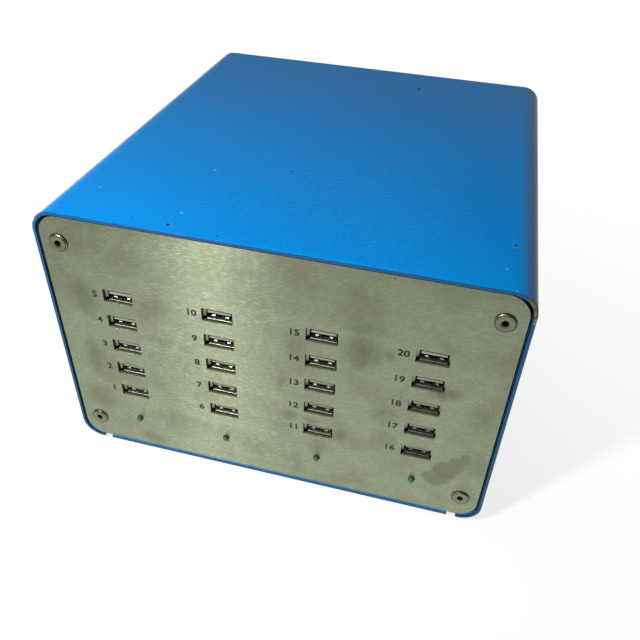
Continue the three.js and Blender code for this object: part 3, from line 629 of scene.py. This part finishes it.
# Painted shade: darker in the step round the face of the head, and where the head meets the panel
STEP, STEP_HALF, FOOT = 4.12, 0.13, 4.7
in_step = add_node(tree, "Math", {0: radius, 1: STEP, 2: STEP_HALF}, operation="COMPARE")
at_foot = add_node(tree, "Math", {0: radius, 1: FOOT}, operation="GREATER_THAN")
step_and_foot_shade = add_node(tree, "Math", {0: in_step, 1: at_foot}, operation="MAXIMUM")
step_and_foot_shade = add_node(tree, "Math", {0: step_and_foot_shade, 1: 0.8}, operation="MULTIPLY")
tone = add_node(tree, "Mix", {SHARE: step_and_foot_shade, UNDER: tone, OVER: linear("#2A2A20")}, **COLOURS)
bump = add_node(tree, "Bump", {"Height": rings, "Strength": 0.3, "Distance": 0.03 * MM})
feed(shader, {"Base Color": tone, "Normal": bump})
print(turned.name)

# %% Satin aluminium
# Anodising over a fine sideways grain leaves a soft grey sheen with no sharp reflection
satin, tree, shader, place = new_material("satin anodised aluminium", {"Metallic": 1.0, "Anisotropic": 0.4})
feed(shader, {"Tangent": add_node(tree, "Tangent", direction_type="RADIAL", axis="Z")})
grain_place = add_node(tree, "Mapping", {"Vector": place, "Scale": (0.05, 1.0, 1.0)})
grain = add_node(tree, "TexNoise", {"Vector": grain_place, "Scale": per_mm(0.8)})
mottle(tree, shader, grain, "#A9ABAA", "#C3C5C4", (0.4, 0.52))
print(satin.name)

# %% [markdown]
# ## Plastics, rubber and board
# Black parts are moulded with a fine spark-eroded texture; the rocker is polished. The tongues in
# the sockets are pale heat-proof plastic, the feet matte rubber with grey dust, the lamps tinted
# epoxy, and the boards are glass-fibre laminate under green solder mask with black chips on top.

# %% Plastics


def moulded(name, dark, light, rough, grit, depth, inputs=None):
    """A moulded finish: two close colours, and a texture with its grit and depth in millimetres"""
    material, tree, shader, place = new_material(name, {"IOR": 1.5, **(inputs or {})})
    dust = add_node(tree, "TexNoise", {"Vector": place, "Scale": per_mm(14), "Detail": 3})
    mottle(tree, shader, dust, dark, light, rough)
    grains = add_node(tree, "TexNoise", {"Vector": place, "Scale": per_mm(grit)})
    bump = add_node(tree, "Bump", {"Height": grains, "Strength": 0.4, "Distance": depth * MM})
    feed(shader, {"Normal": bump})
    print(name)
    return material


black_plastic = moulded("black glass-filled nylon, spark-eroded", "#141416", "#212124",
                        (0.5, 0.62), 0.5, 0.03)
gloss_plastic = moulded("black polycarbonate, polished", "#0E0E10", "#161618", (0.14, 0.24), 3.0, 0.004)
pale_plastic = moulded("pale liquid-crystal polymer, moulded", "#A6A79B", "#B8B9AD", (0.45, 0.55), 0.6, 0.01)
rubber = moulded("black neoprene rubber, moulded", "#1A1A1A", "#2E2D2B", (0.75, 0.9), 0.8, 0.05)
print_white = moulded("white pad-printing ink", "#D8D8D4", "#E6E6E2", (0.5, 0.6), 0.5, 0.005)
print_grey = moulded("dark grey screen-printing ink", "#161917", "#222522", (0.5, 0.65), 0.5, 0.005)
# Near-black for the hexagon sockets: old grease and painted shade in the recess
hex_grease_and_shade = moulded("old grease and painted shade", "#0B0B0A", "#141311", (0.5, 0.7), 0.8, 0.03)
# Painted shade: a near-black matte finish in the joint between cover and panel, standing in for the shadow
# there
joint_shade = moulded("painted shade in the joint", "#05090D", "#0C1318", (0.8, 0.95), 0.7, 0.03,
                     {"Specular IOR Level": 0.15})

# %% Laser-cut edge of the steel
# A laser leaves a smoother band at the front and a burnt one behind it, with drag lines across
cut_edge, tree, shader, place = new_material("laser-cut edge of stainless steel", {"Metallic": 0.5})
drag_place = add_node(tree, "Mapping", {"Vector": place, "Scale": (1.0, 0.2, 1.0)})
drag = add_node(tree, "TexNoise", {"Vector": drag_place, "Scale": per_mm(0.5)})
tone = mottle(tree, shader, drag, "#62644F", "#8A8C72", (0.5, 0.7))
BURNT_FROM, BURNT_FULL = 0.9, 1.3   # depth in the sheet
shift_with_depth(tree, shader, place, tone, panel_low.y + BURNT_FROM, panel_low.y + BURNT_FULL, "#484A3A")
print(cut_edge.name)

# %% Tinted epoxy of the lamps
# A lamp of clear tinted epoxy gathers light in its dome and looks darkest at its flange; this is painted as a
# colour that darkens behind the dome's tip
epoxy, tree, shader, place = new_material("green tinted epoxy", {"Roughness": 0.16, "IOR": 1.54})
swirl = add_node(tree, "TexNoise", {"Vector": place, "Scale": per_mm(1.2)})
tone = mottle(tree, shader, swirl, "#2F7048", "#4A9068")
lamp_tip = box_mm("led_1")[0].y
FLANGE_SHADE_FROM, FLANGE_SHADE_FULL = 0.3, 1.7   # depth behind the tip of the dome
# Painted shade: the green darkens towards the flange
shift_with_depth(tree, shader, place, tone, lamp_tip + FLANGE_SHADE_FROM, lamp_tip + FLANGE_SHADE_FULL, "#1C4A30")
print(epoxy.name)

# %% Circuit board
# Solder mask is a thin green lacquer, a little paler over the copper; the chips on it are black
board, tree, shader, place = new_material("glass-fibre laminate, green solder mask", {
    "Roughness": 0.4, "IOR": 1.5})
traces = add_node(tree, "TexBrick", {
    "Vector": place, "Scale": per_mm(6), "Mortar Size": 0.03,
    "Color1": linear("#14522F"), "Color2": linear("#1A5E38"), "Mortar": linear("#2C7A4C")})
BOARD_THICK = 1.6
board_top = box_mm("main_board")[0].z + BOARD_THICK
upright_back = box_mm("port_board_1")[1].y
board_axes = add_node(tree, "SeparateXYZ", {"Vector": place})
above = add_node(tree, "Math", {
    0: board_axes.outputs["Z"], 1: (board_top + 0.05) * MM}, operation="GREATER_THAN")
behind = add_node(tree, "Math", {
    0: board_axes.outputs["Y"], 1: (upright_back + 0.3) * MM}, operation="GREATER_THAN")
is_chip = add_node(tree, "Math", {0: above, 1: behind}, operation="MULTIPLY")
tone = add_node(tree, "Mix", {
    SHARE: is_chip, UNDER: traces.outputs["Color"], OVER: linear("#18181A")}, **COLOURS)
feed(shader, {"Base Color": tone})
print(board.name)

# %% Gold and zinc
# Flashed gold is warm and smooth; zinc plate is a cool grey with a patchwork of crystals 7 mm across
gold, tree, shader, place = new_material("gold-flashed contact bronze", {"Metallic": 1.0, "Roughness": 0.25})
rub = add_node(tree, "TexNoise", {"Vector": place, "Scale": per_mm(1)})
mottle(tree, shader, rub, "#C8A24A", "#E0BF6A")
zinc, tree, shader, place = new_material("zinc-plated sheet steel", {"Metallic": 1.0, "Roughness": 0.4})
spangle = add_node(tree, "TexVoronoi", {"Vector": place, "Scale": per_mm(7)})
bright = add_node(tree, "SeparateColor", {"Color": spangle.outputs["Color"]})
mottle(tree, shader, bright, "#9DA2A6", "#B9BEC2")
print(gold.name, "/", zinc.name)

# %% [markdown]
# ## Cover
# One sheet, bent over four long rounded edges, with two short lips under the case. We start from a
# box, open its ends, round the long edges and cut the gap for the base plate. Only then does the
# sheet get its 2 mm wall inwards, and its cut rims a small radius that the paint would give them.

# %% Cover as a bent sheet
SHEET = 2.0
BEND, BEND_FACETS = 11.0, 14
LIP_EDGE = 100.0   # the lips end this far from the middle
size = case_high - case_low
centre = (case_high + case_low) / 2
bm = bmesh.new()
add_box(bm, size, centre)
ends = [f for f in bm.faces if abs(f.normal.y) > 0.9]
bmesh.ops.delete(bm, geom=ends, context="FACES_ONLY")
long_edges = [e for e in bm.edges if abs(e.verts[0].co.y - e.verts[1].co.y) > 1]
bevel(bm, long_edges, BEND, BEND_FACETS)
for side in (-1, 1):
    cut_across(bm, (side * LIP_EDGE, 0, 0), (1, 0, 0))
underside = [f for f in bm.faces if f.calc_center_median().z < case_low.z + 0.1]
gap = [f for f in underside if abs(f.calc_center_median().x) < LIP_EDGE]
bmesh.ops.delete(bm, geom=gap, context="FACES")
bmesh.ops.remove_doubles(bm, verts=bm.verts, dist=0.001)
face_outwards(bm)
top = max(bm.faces, key=lambda f: f.calc_center_median().z)
if top.normal.z < 0:
    bmesh.ops.reverse_faces(bm, faces=bm.faces)
bmesh.ops.solidify(bm, geom=bm.faces[:], thickness=SHEET)
print("cover", len(bm.faces), "faces")

# %% Rims of the cover
# The rims are split into five bands, so that the innermost can hold the painted shade of the joint between
# cover and panel
RIM_BANDS = 5
JOINT_SHADE_FROM = 1.5   # depth in the sheet, from its outer face
JOINT_SHADE_DEEP = 0.6   # how far it reaches in from the ends


def from_end(at):
    return min(abs(at.y - case_low.y), abs(at.y - case_high.y))


rim_edges = [e for e in bm.edges if abs(e.calc_length() - SHEET) < 0.02
             and all(from_end(v.co) < 0.01 for v in e.verts)]
bmesh.ops.subdivide_edges(bm, edges=rim_edges, cuts=RIM_BANDS - 1, use_grid_fill=True)
round_edges(bm, 0.35, segments=3, sharper_than=60)
# The innermost band near the ends takes the painted shade of the joint
for face in bm.faces:
    at = face.calc_center_median()
    past_bend = [max(abs(at[i] - centre[i]) - size[i] / 2 + BEND, 0) for i in (0, 2)]
    if from_end(at) < JOINT_SHADE_DEEP and BEND - Vector(past_bend).length > JOINT_SHADE_FROM:
        face.material_index = 1
print(sum(f.material_index for f in bm.faces), "faces of painted shade in the joints")
# Bend facets meet at 6 degrees and stay smooth; a higher crease angle would let the rims' rounding
# tilt the shading of the whole flat top
finish_piece(bm, "cover_sheet", [enamel, joint_shade], stands_for=["cover"], crease=10)

# %% [markdown]
# ## Front panel
# The panel is laser-cut stainless sheet: a rounded outline, twenty square-cornered windows for the
# sockets, four holes for the lamps and four for the screws. Every place is read from the CAD nodes
# behind the holes, so the windows stay in line with their sockets.

# %% Front panel
WINDOW_WIDE, WINDOW_TALL = 15.1, 7.3
WINDOW_SHIFT = 0.3   # the windows sit this much left of their sockets, which is how they were fitted
LAMP_HOLE, SCREW_HOLE = 1.76, 2.8   # radii
CORNERS = ("top_left", "top_right", "bottom_left", "bottom_right")
ports = [f"usb_port_{n:02d}" for n in range(1, 21)]
lamps = [f"led_{n}" for n in range(1, 5)]
bm = bmesh.new()
panel_size = panel_high - panel_low
add_loop(bm, panel_middle.x, panel_middle.z, panel_size.x, panel_size.z, corner=10.5, segments=14)
for port in ports:
    at = middle_mm(port)
    add_loop(bm, at.x - WINDOW_SHIFT, at.z, WINDOW_WIDE, WINDOW_TALL, corner=0.3, segments=2)
for node, radius in [(n, LAMP_HOLE) for n in lamps] + [(f"front_screw_{c}", SCREW_HOLE) for c in CORNERS]:
    at = middle_mm(node)
    add_ring(bm, at.x, at.z, radius)
fill_sheet(bm, panel_low.y, panel_high.y)
for face in bm.faces:
    face.material_index = 1 if abs(face.normal.y) < 0.5 else 0
round_edges(bm, 0.12, segments=2, sharper_than=60)
print("front panel", len(bm.faces), "faces")
# The low crease angle keeps the big flat face free of the rounded edges' shading
finish_piece(bm, "front_sheet", [steel, cut_edge], stands_for=["front_panel"], crease=12)

# %% [markdown]
# ## Sockets
# A type A socket is a folded shell of thin plated sheet. Its front rim is cut at the corners and
# bent outwards into four lips, and spring fingers are punched from its walls to grip the plug. We
# fold it in the same order: a box without a front, rim edges cut free, each lip drawn out edge by edge,
# and then the wall. The fingers are bent ribbons, whose steep fronts catch the lamp.

# %% Lips and fingers of a socket
# Sections of the lips: depth behind the front and distance from the wall. The mouth flares before
# the long lips are bent flat, and the side lips stay a little dished.
LONG_LIP = [(2.3, 0.0), (2.05, 0.0), (0.35, 0.74), (0.32, 0.765), (0.305, 0.8), (0.3, 0.84), (0.3, 1.1)]
SIDE_LIP = [(2.3, 0.0), (1.9, 0.0), (0.72, 0.2), (0.634, 0.25), (0.364, 1.05), (0.3, 1.35)]
# A finger seen from the side: depth behind the front and rise from its wall
FINGER_PATH = [(6.8, 0.0), (4.8, 0.2), (3.0, 0.42), (2.2, 0.48), (1.7, 0.4), (1.36, -0.02)]
FINGER_WIDE, FINGER_THICK, FINGER_OUT = 1.6, 0.12, 3.35


def draw_lip(bm, edge, outwards, section, widen):
    """Draw one rim edge forwards and round into a flange, which ends wider than its root"""
    for (depth, out), (next_depth, next_out) in zip(section, section[1:]):
        step = Vector((0, next_depth - depth, 0)) + outwards * (next_out - out)
        verts, (edge,) = draw_out(bm, [edge], step)[:2]
    along = (1, 1, widen) if outwards.x else (widen, 1, 1)
    bmesh.ops.scale(bm, vec=along, verts=verts)


def finger(bm, x, wall_z, inwards):
    """A spring finger: a ribbon that leaves the wall, rises into the mouth and turns back at its tip"""
    edges = add_path(bm, [(x - FINGER_WIDE / 2, y, wall_z + inwards * rise) for y, rise in FINGER_PATH])[1]
    faces = draw_out(bm, edges, (FINGER_WIDE, 0, 0))[2]
    bmesh.ops.recalc_face_normals(bm, faces=faces)
    made = bmesh.ops.solidify(bm, geom=faces, thickness=FINGER_THICK)["geom"]
    for face in faces + only(BMFace, made):
        face.material_index = 1


print("lip and finger helpers ready")

# %% Socket shell
SHELL_WIDE, SHELL_TALL, SHELL_WALL, SHELL_BEND = 13.1, 5.72, 0.3, 0.35
SOCKET_LONG = 13.4
LIP_CUT = 2.35     # the corner cuts free the side lips this far from the middle
LIP_AHEAD = 0.22   # the lips press against the back of the panel


def build_shell():
    bm = bmesh.new()
    rim_y = LONG_LIP[0][0]
    add_box(bm, (SHELL_WIDE, SOCKET_LONG - rim_y, SHELL_TALL), (0, (SOCKET_LONG + rim_y) / 2, 0))
    long_edges = [e for e in bm.edges if abs(e.verts[0].co.y - e.verts[1].co.y) > 1]
    bevel(bm, long_edges, SHELL_BEND, 3)
    mouth = [f for f in bm.faces if f.normal.y < -0.9]
    bmesh.ops.delete(bm, geom=mouth, context="FACES_ONLY")
    for height in (LIP_CUT, -LIP_CUT):
        cut_across(bm, (0, 0, height), (0, 0, 1))
    for edge in [e for e in bm.edges if e.is_boundary and e.calc_length() > 3]:
        middle = (edge.verts[0].co + edge.verts[1].co) / 2
        if abs(middle.z) > 1:
            draw_lip(bm, edge, Vector((0, 0, 1 if middle.z > 0 else -1)), LONG_LIP, 6.5 / 6.2)
        else:
            draw_lip(bm, edge, Vector((1 if middle.x > 0 else -1, 0, 0)), SIDE_LIP, 3.0 / LIP_CUT)
    face_outwards(bm)
    roof = max(bm.faces, key=lambda f: f.calc_area() if f.normal.z ** 2 > 0.8 else 0)
    if roof.normal.z * roof.calc_center_median().z < 0:
        bmesh.ops.reverse_faces(bm, faces=bm.faces)
    bmesh.ops.solidify(bm, geom=bm.faces[:], thickness=SHELL_WALL)
    wall_z = SHELL_TALL / 2 - SHELL_WALL
    for x in (-FINGER_OUT, FINGER_OUT):
        finger(bm, x, -wall_z, 1)
        finger(bm, x, wall_z, -1)
    # Lips and finger tips are rubbed dull by plugs
    for face in bm.faces:
        if face.calc_center_median().y < 0.3:
            face.material_index = 1
    front = min(v.co.y for v in bm.verts)
    move(bm, (0, -front - LIP_AHEAD, 0))
    return bm


print("a shell is", SHELL_WIDE, "x", SHELL_TALL, "mm outside")

# %% Socket tongue and contacts
TONGUE_LOW, TONGUE_HIGH, TONGUE_WIDE = -0.13, 1.45, 11.6
BLOCK_WIDE, BLOCK_DEEP, BLOCK_TALL = 12.4, 2.9, 5.05


def build_tongue():
    """The moulded insert: a tongue in the upper half of the mouth and a block that closes the back"""
    bm = bmesh.new()
    add_box(bm, (BLOCK_WIDE, BLOCK_DEEP, BLOCK_TALL), (0, 11.6, 0))
    front = next(f for f in bm.faces if f.normal.y < -0.9)
    bmesh.ops.inset_individual(bm, faces=[front], thickness=0.6)
    root = list(front.verts)
    wide, tall = (max(v.co[i] for v in root) - min(v.co[i] for v in root) for i in (0, 2))
    bmesh.ops.scale(bm, vec=(TONGUE_WIDE / wide, 1, (TONGUE_HIGH - TONGUE_LOW) / tall), verts=root)
    move(bm, (0, 0, (TONGUE_HIGH + TONGUE_LOW) / 2), root)
    grown = bmesh.ops.extrude_discrete_faces(bm, faces=[front])["faces"][0]
    move(bm, (0, -grown.calc_center_median().y, 0), grown.verts)
    bmesh.ops.remove_doubles(bm, verts=bm.verts, dist=0.001)
    face_outwards(bm)
    round_edges(bm, 0.14, segments=2, sharper_than=60)
    return bm


def build_contacts():
    """Four strips let into the underside of the tongue"""
    bm = bmesh.new()
    for x in (-3.5, -1.0, 1.0, 3.5):
        add_box(bm, (1.0, 7.6, 0.1), (x, 5.3, TONGUE_LOW - 0.03))
    round_edges(bm, 0.04, segments=1)
    return bm


for port in ports:
    at = middle_mm(port)
    at.y = box_mm(port)[0].y
    for kind, build, materials, slot, nodes in (
            ("shell", build_shell, [nickel, rubbed_nickel], "socket_shell", [port]),
            ("tongue", build_tongue, [pale_plastic], "black_plastic", []),
            ("contacts", build_contacts, [gold], "socket_shell", [])):
        bm = build()
        move(bm, at)
        finish_piece(bm, f"socket_{port[-2:]}_{kind}", materials, stands_for=nodes)
print(len(ports), "sockets, each a shell, a tongue and four contacts")

# %% [markdown]
# ## Corner screws
# Low heads with a 3 mm hexagon socket, near-black inside: old grease and painted shade in the recess. A lathe
# turns the head, so we spin its outline. The hexagon is a six-sided loop joined to the innermost turned ring,
# which makes the bright chamfer round it, and it is drawn inwards. Every point keeps its distance from the
# axis for the rings of the finish.

# %% Corner screws
HEAD_HIGH, HEX_WIDE, HEX_DEEP = 0.8, 3.0, 2.0
# Radius and depth from the seat: the flat face, the step round it, the round shoulder and the shank
SCREW_OUTLINE = [(2.2, -0.8), (3.1, -0.8), (3.95, -0.8), (4.05, -0.62), (4.2, -0.6), (4.3, -0.66),
                 (4.5, -0.56), (4.7, -0.3), (4.78, -0.06), (4.72, 0.0), (2.5, 0.0), (2.5, 12.0)]


def build_screw():
    """A screw for the front: its seat at y = 0 and its head outwards along -Y"""
    bm = turn_solid(SCREW_OUTLINE, steps=48)
    ring = [e for e in bm.edges if e.is_boundary and all(v.co.y < 0 for v in e.verts)]
    hexagon = bmesh.ops.create_circle(bm, cap_ends=False, radius=HEX_WIDE / 3 ** 0.5, segments=6)["verts"]
    turn(bm, pi / 2, "X", hexagon)
    move(bm, (0, 0.25 - HEAD_HIGH, 0), hexagon)
    hex_edges = list({e for v in hexagon for e in v.link_edges})
    bmesh.ops.bridge_loops(bm, edges=ring + hex_edges)
    bottom, walls = draw_out(bm, hex_edges, (0, HEX_DEEP, 0))[1:]
    cap = bmesh.ops.holes_fill(bm, edges=bottom, sides=0)["faces"]
    # The hexagon's walls and bottom take the near-black finish: old grease and painted shade in the recess
    for face in cap + walls:
        face.material_index = 1
    bmesh.ops.holes_fill(bm, edges=[e for e in bm.edges if e.is_boundary], sides=0)
    from_axis = bm.verts.layers.float.new("turning_radius")
    for v in bm.verts:
        v[from_axis] = (v.co.x ** 2 + v.co.z ** 2) ** 0.5
    return bm


# Each screw stopped at its own angle when it was tightened
screw_turns = dict(zip(CORNERS, (12, 41, 27, 53)))
for end in ("front", "rear"):
    for corner, degrees_on in screw_turns.items():
        node = f"{end}_screw_{corner}"
        low, high = box_mm(node)
        at = middle_mm(node)
        at.y = low.y + HEAD_HIGH if end == "front" else high.y - HEAD_HIGH
        bm = build_screw()
        if end == "rear":
            turn(bm, pi, "X")
        face_outwards(bm)
        turn(bm, radians(degrees_on), "Y")
        move(bm, at)
        finish_piece(bm, f"{end}_head_{corner}", [turned, hex_grease_and_shade],
                     stands_for=[node], crease=28)
print("8 corner screws")

# %% [markdown]
# ## Indicator lamps
# Ordinary 3 mm lamps: a dome on a short barrel with a flange. The outline is turned as one solid,
# because the real one is cast in one piece.

# %% Indicator lamps
DOME, DOME_FROM, BARREL_BACK = 1.5, 0.9, 3.0   # the dome's radius, its foot and the barrel's back
LEG_WIDE, LEG_OUT = 0.5, 1.27
quarter = [(DOME * sin(k * pi / 16), -DOME_FROM - DOME * cos(k * pi / 16)) for k in range(9)]
LAMP_OUTLINE = quarter + [(DOME, -0.36), (1.54, -0.3), (1.64, -0.3), (1.7, -0.24), (1.7, 0.7), (DOME, 0.75),
                          (DOME, BARREL_BACK), (0.0, BARREL_BACK)]
for node in lamps:
    at = middle_mm(node)
    low, high = box_mm(node)
    face_y = low.y + DOME + DOME_FROM
    bm = turn_solid(LAMP_OUTLINE, steps=28)
    face_outwards(bm)
    move(bm, (at.x, face_y, at.z))
    finish_piece(bm, f"lamp_{node[-1]}", [epoxy], stands_for=[node], crease=50)
    bm = bmesh.new()
    leg_from = face_y + BARREL_BACK - 0.3
    for side in (-1, 1):
        add_box(bm, (LEG_WIDE, high.y - leg_from, LEG_WIDE),
                (at.x + side * LEG_OUT, (high.y + leg_from) / 2, at.z))
    round_edges(bm, 0.06, segments=1)
    finish_piece(bm, f"lamp_{node[-1]}_legs", [nickel])
print("4 lamps with their legs")

# %% [markdown]
# ## Port numbers
# The panel is screen-printed with plain numbers from 1 to 20, one at the left of each socket. Each is
# a text turned to a mesh, made as bold and wide as the printed digits, scaled to their height and
# laid just proud of the steel, as thick as a layer of ink.

# %% Port numbers
DIGIT_TALL, DIGIT_WIDER, DIGIT_BOLDER = 3.75, 1.12, 0.026
INK, INK_SUNK = 0.05, 0.01
LEFT_OF_PORT, FURTHER_EACH_COLUMN = 12.35, 0.31
for number, port in enumerate(ports, start=1):
    at = middle_mm(port)
    column = (number - 1) // 5
    text = bpy.data.curves.new(f"number_{number:02d}", "FONT")
    text.body = str(number)
    text.align_x = "CENTER"
    text.resolution_u = 4
    text.offset = DIGIT_BOLDER
    holder = bpy.data.objects.new("holder", text)
    bpy.context.scene.collection.objects.link(holder)
    shape = bpy.data.meshes.new_from_object(holder)
    bpy.data.objects.remove(holder)
    bm = bmesh.new()
    bm.from_mesh(shape)
    bpy.data.meshes.remove(shape)
    xs = [v.co.x for v in bm.verts]
    ys = [v.co.y for v in bm.verts]
    factor = DIGIT_TALL / (max(ys) - min(ys))
    move(bm, (-(max(xs) + min(xs)) / 2, -(max(ys) + min(ys)) / 2, 0))
    bmesh.ops.scale(bm, vec=(factor * DIGIT_WIDER, factor, factor), verts=bm.verts)
    bmesh.ops.remove_doubles(bm, verts=bm.verts, dist=0.01)
    thicken(bm, (0, 0, INK))
    turn(bm, pi / 2, "X")
    face_outwards(bm)
    left = LEFT_OF_PORT + FURTHER_EACH_COLUMN * column
    move(bm, (at.x - left, panel_low.y - INK_SUNK, at.z))
    finish_piece(bm, f"number_{number:02d}", [print_grey], crease=20)
print("20 printed numbers")

# %% [markdown]
# ## Metal and print at the rear
# Three CAD solids at the back are moulded round other parts, so one finish can't serve: the inlet
# holds plated blades, the host socket a pale insert, and the rocker carries a printed bar and ring.
# The blades and the insert are sleeves over the CAD's own, and the marks lie on the two faces of the
# rocker, wherever its rest position has turned them.

# %% Inlet blades and host insert
BLADE = (2.1, 13.1, 4.1)
BLADE_PLACES = ((-7, 0), (0, 2), (7, 0))   # across and up from the inlet's middle
BLADE_IN = 10.45                           # from the inlet's face to the blades' middles
INSERT = (5.7, 7.55, 3.3)
INSERT_IN = 1.45                           # from the socket's face to the insert
inlet_middle, inlet_face = middle_mm("power_inlet"), box_mm("power_inlet")[1].y
bm = bmesh.new()
for across, rise in BLADE_PLACES:
    add_box(bm, BLADE, (inlet_middle.x + across, inlet_face - BLADE_IN, inlet_middle.z + rise))
round_edges(bm, 0.45, segments=3)
finish_piece(bm, "inlet_blades", [nickel])
host_middle, host_face = middle_mm("host_socket"), box_mm("host_socket")[1].y
bm = bmesh.new()
add_box(bm, INSERT, (host_middle.x, host_face - INSERT_IN - INSERT[1] / 2, host_middle.z))
round_edges(bm, 0.3, segments=2)
finish_piece(bm, "host_insert", [pale_plastic])
print("3 blades and 1 insert")

# %% Marks on the rocker
BAR_WIDE, BAR_TALL = 0.9, 3.8
RING_RADII = (2.0, 1.3)
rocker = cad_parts["power_rocker"]
rocker_middle = middle_mm("power_rocker").z * MM
for name, upper in (("on", True), ("off", False)):
    half = [f for f in rocker.data.polygons if f.normal.y > 0.9 and (f.center.z > rocker_middle) == upper]
    area = sum(f.area for f in half)
    middle = sum((f.center * f.area for f in half), Vector()) / area / MM
    normal = half[0].normal.copy()
    bm = bmesh.new()
    if upper:
        add_box(bm, (BAR_WIDE, INK, BAR_TALL), (0, 0, 0))
    else:
        for radius in RING_RADII:
            bmesh.ops.create_circle(bm, cap_ends=False, radius=radius, segments=32)
        bmesh.ops.bridge_loops(bm, edges=bm.edges[:])
        thicken(bm, (0, 0, INK))
        turn(bm, -pi / 2, "X")
        face_outwards(bm)
    facing = Vector((0, 1, 0)).rotation_difference(normal).to_matrix()
    bmesh.ops.rotate(bm, cent=(0, 0, 0), matrix=facing, verts=bm.verts)
    move(bm, middle + normal * 0.03)
    finish_piece(bm, f"rocker_mark_{name}", [print_white], body="rocker", crease=20)
    print(name, "mark at", [round(v, 1) for v in middle], "mm, facing", [round(v, 2) for v in normal])

# %% [markdown]
# ## Parts inside and below
# What the case hides keeps its CAD shape and only gets its finish and small rounded edges from
# modifiers. The same goes for the base plate, the rear panel and what is mounted in it.

# %% Dressed CAD nodes


def dress_node(node, material, edge):
    """Give a CAD node a finish, and small rounded edges from modifiers that leave its mesh alone"""
    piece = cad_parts[node]
    piece.data.materials.clear()
    piece.data.materials.append(material)
    if edge:
        weld = piece.modifiers.new("weld", "WELD")
        weld.merge_threshold = 0.002 * MM
        flat = piece.modifiers.new("flat faces", "DECIMATE")
        flat.decimate_type = "DISSOLVE"
        flat.angle_limit = radians(1)
        rounded = piece.modifiers.new("edges", "BEVEL")
        rounded.width = edge * MM
        rounded.segments = 2
        rounded.limit_method = "ANGLE"
        rounded.angle_limit = radians(40)


for material, edge, nodes in (
        (enamel, 0.3, ["base_plate"]),
        (satin, 0.3, ["upper_left_rail", "upper_right_rail", "lower_left_rail", "lower_right_rail"]),
        (satin, 0.2, ["rear_panel"]),
        (board, 0, ["port_board_1", "port_board_2", "port_board_3", "port_board_4", "main_board"]),
        (zinc, 0.5, ["power_supply"]),
        (black_plastic, 0.2, ["fan_frame", "fan_rotor", "power_inlet", "power_switch_body"]),
        (gloss_plastic, 0.3, ["power_rocker"]),
        (nickel, 0, ["fan_guard"]),
        (nickel, 0.15, ["host_socket"]),
        (rubber, 0.4, ["foot_front_left", "foot_front_right", "foot_rear_left", "foot_rear_right"])):
    for node in nodes:
        dress_node(node, material, edge)
    print(material.name, "on", ", ".join(nodes))
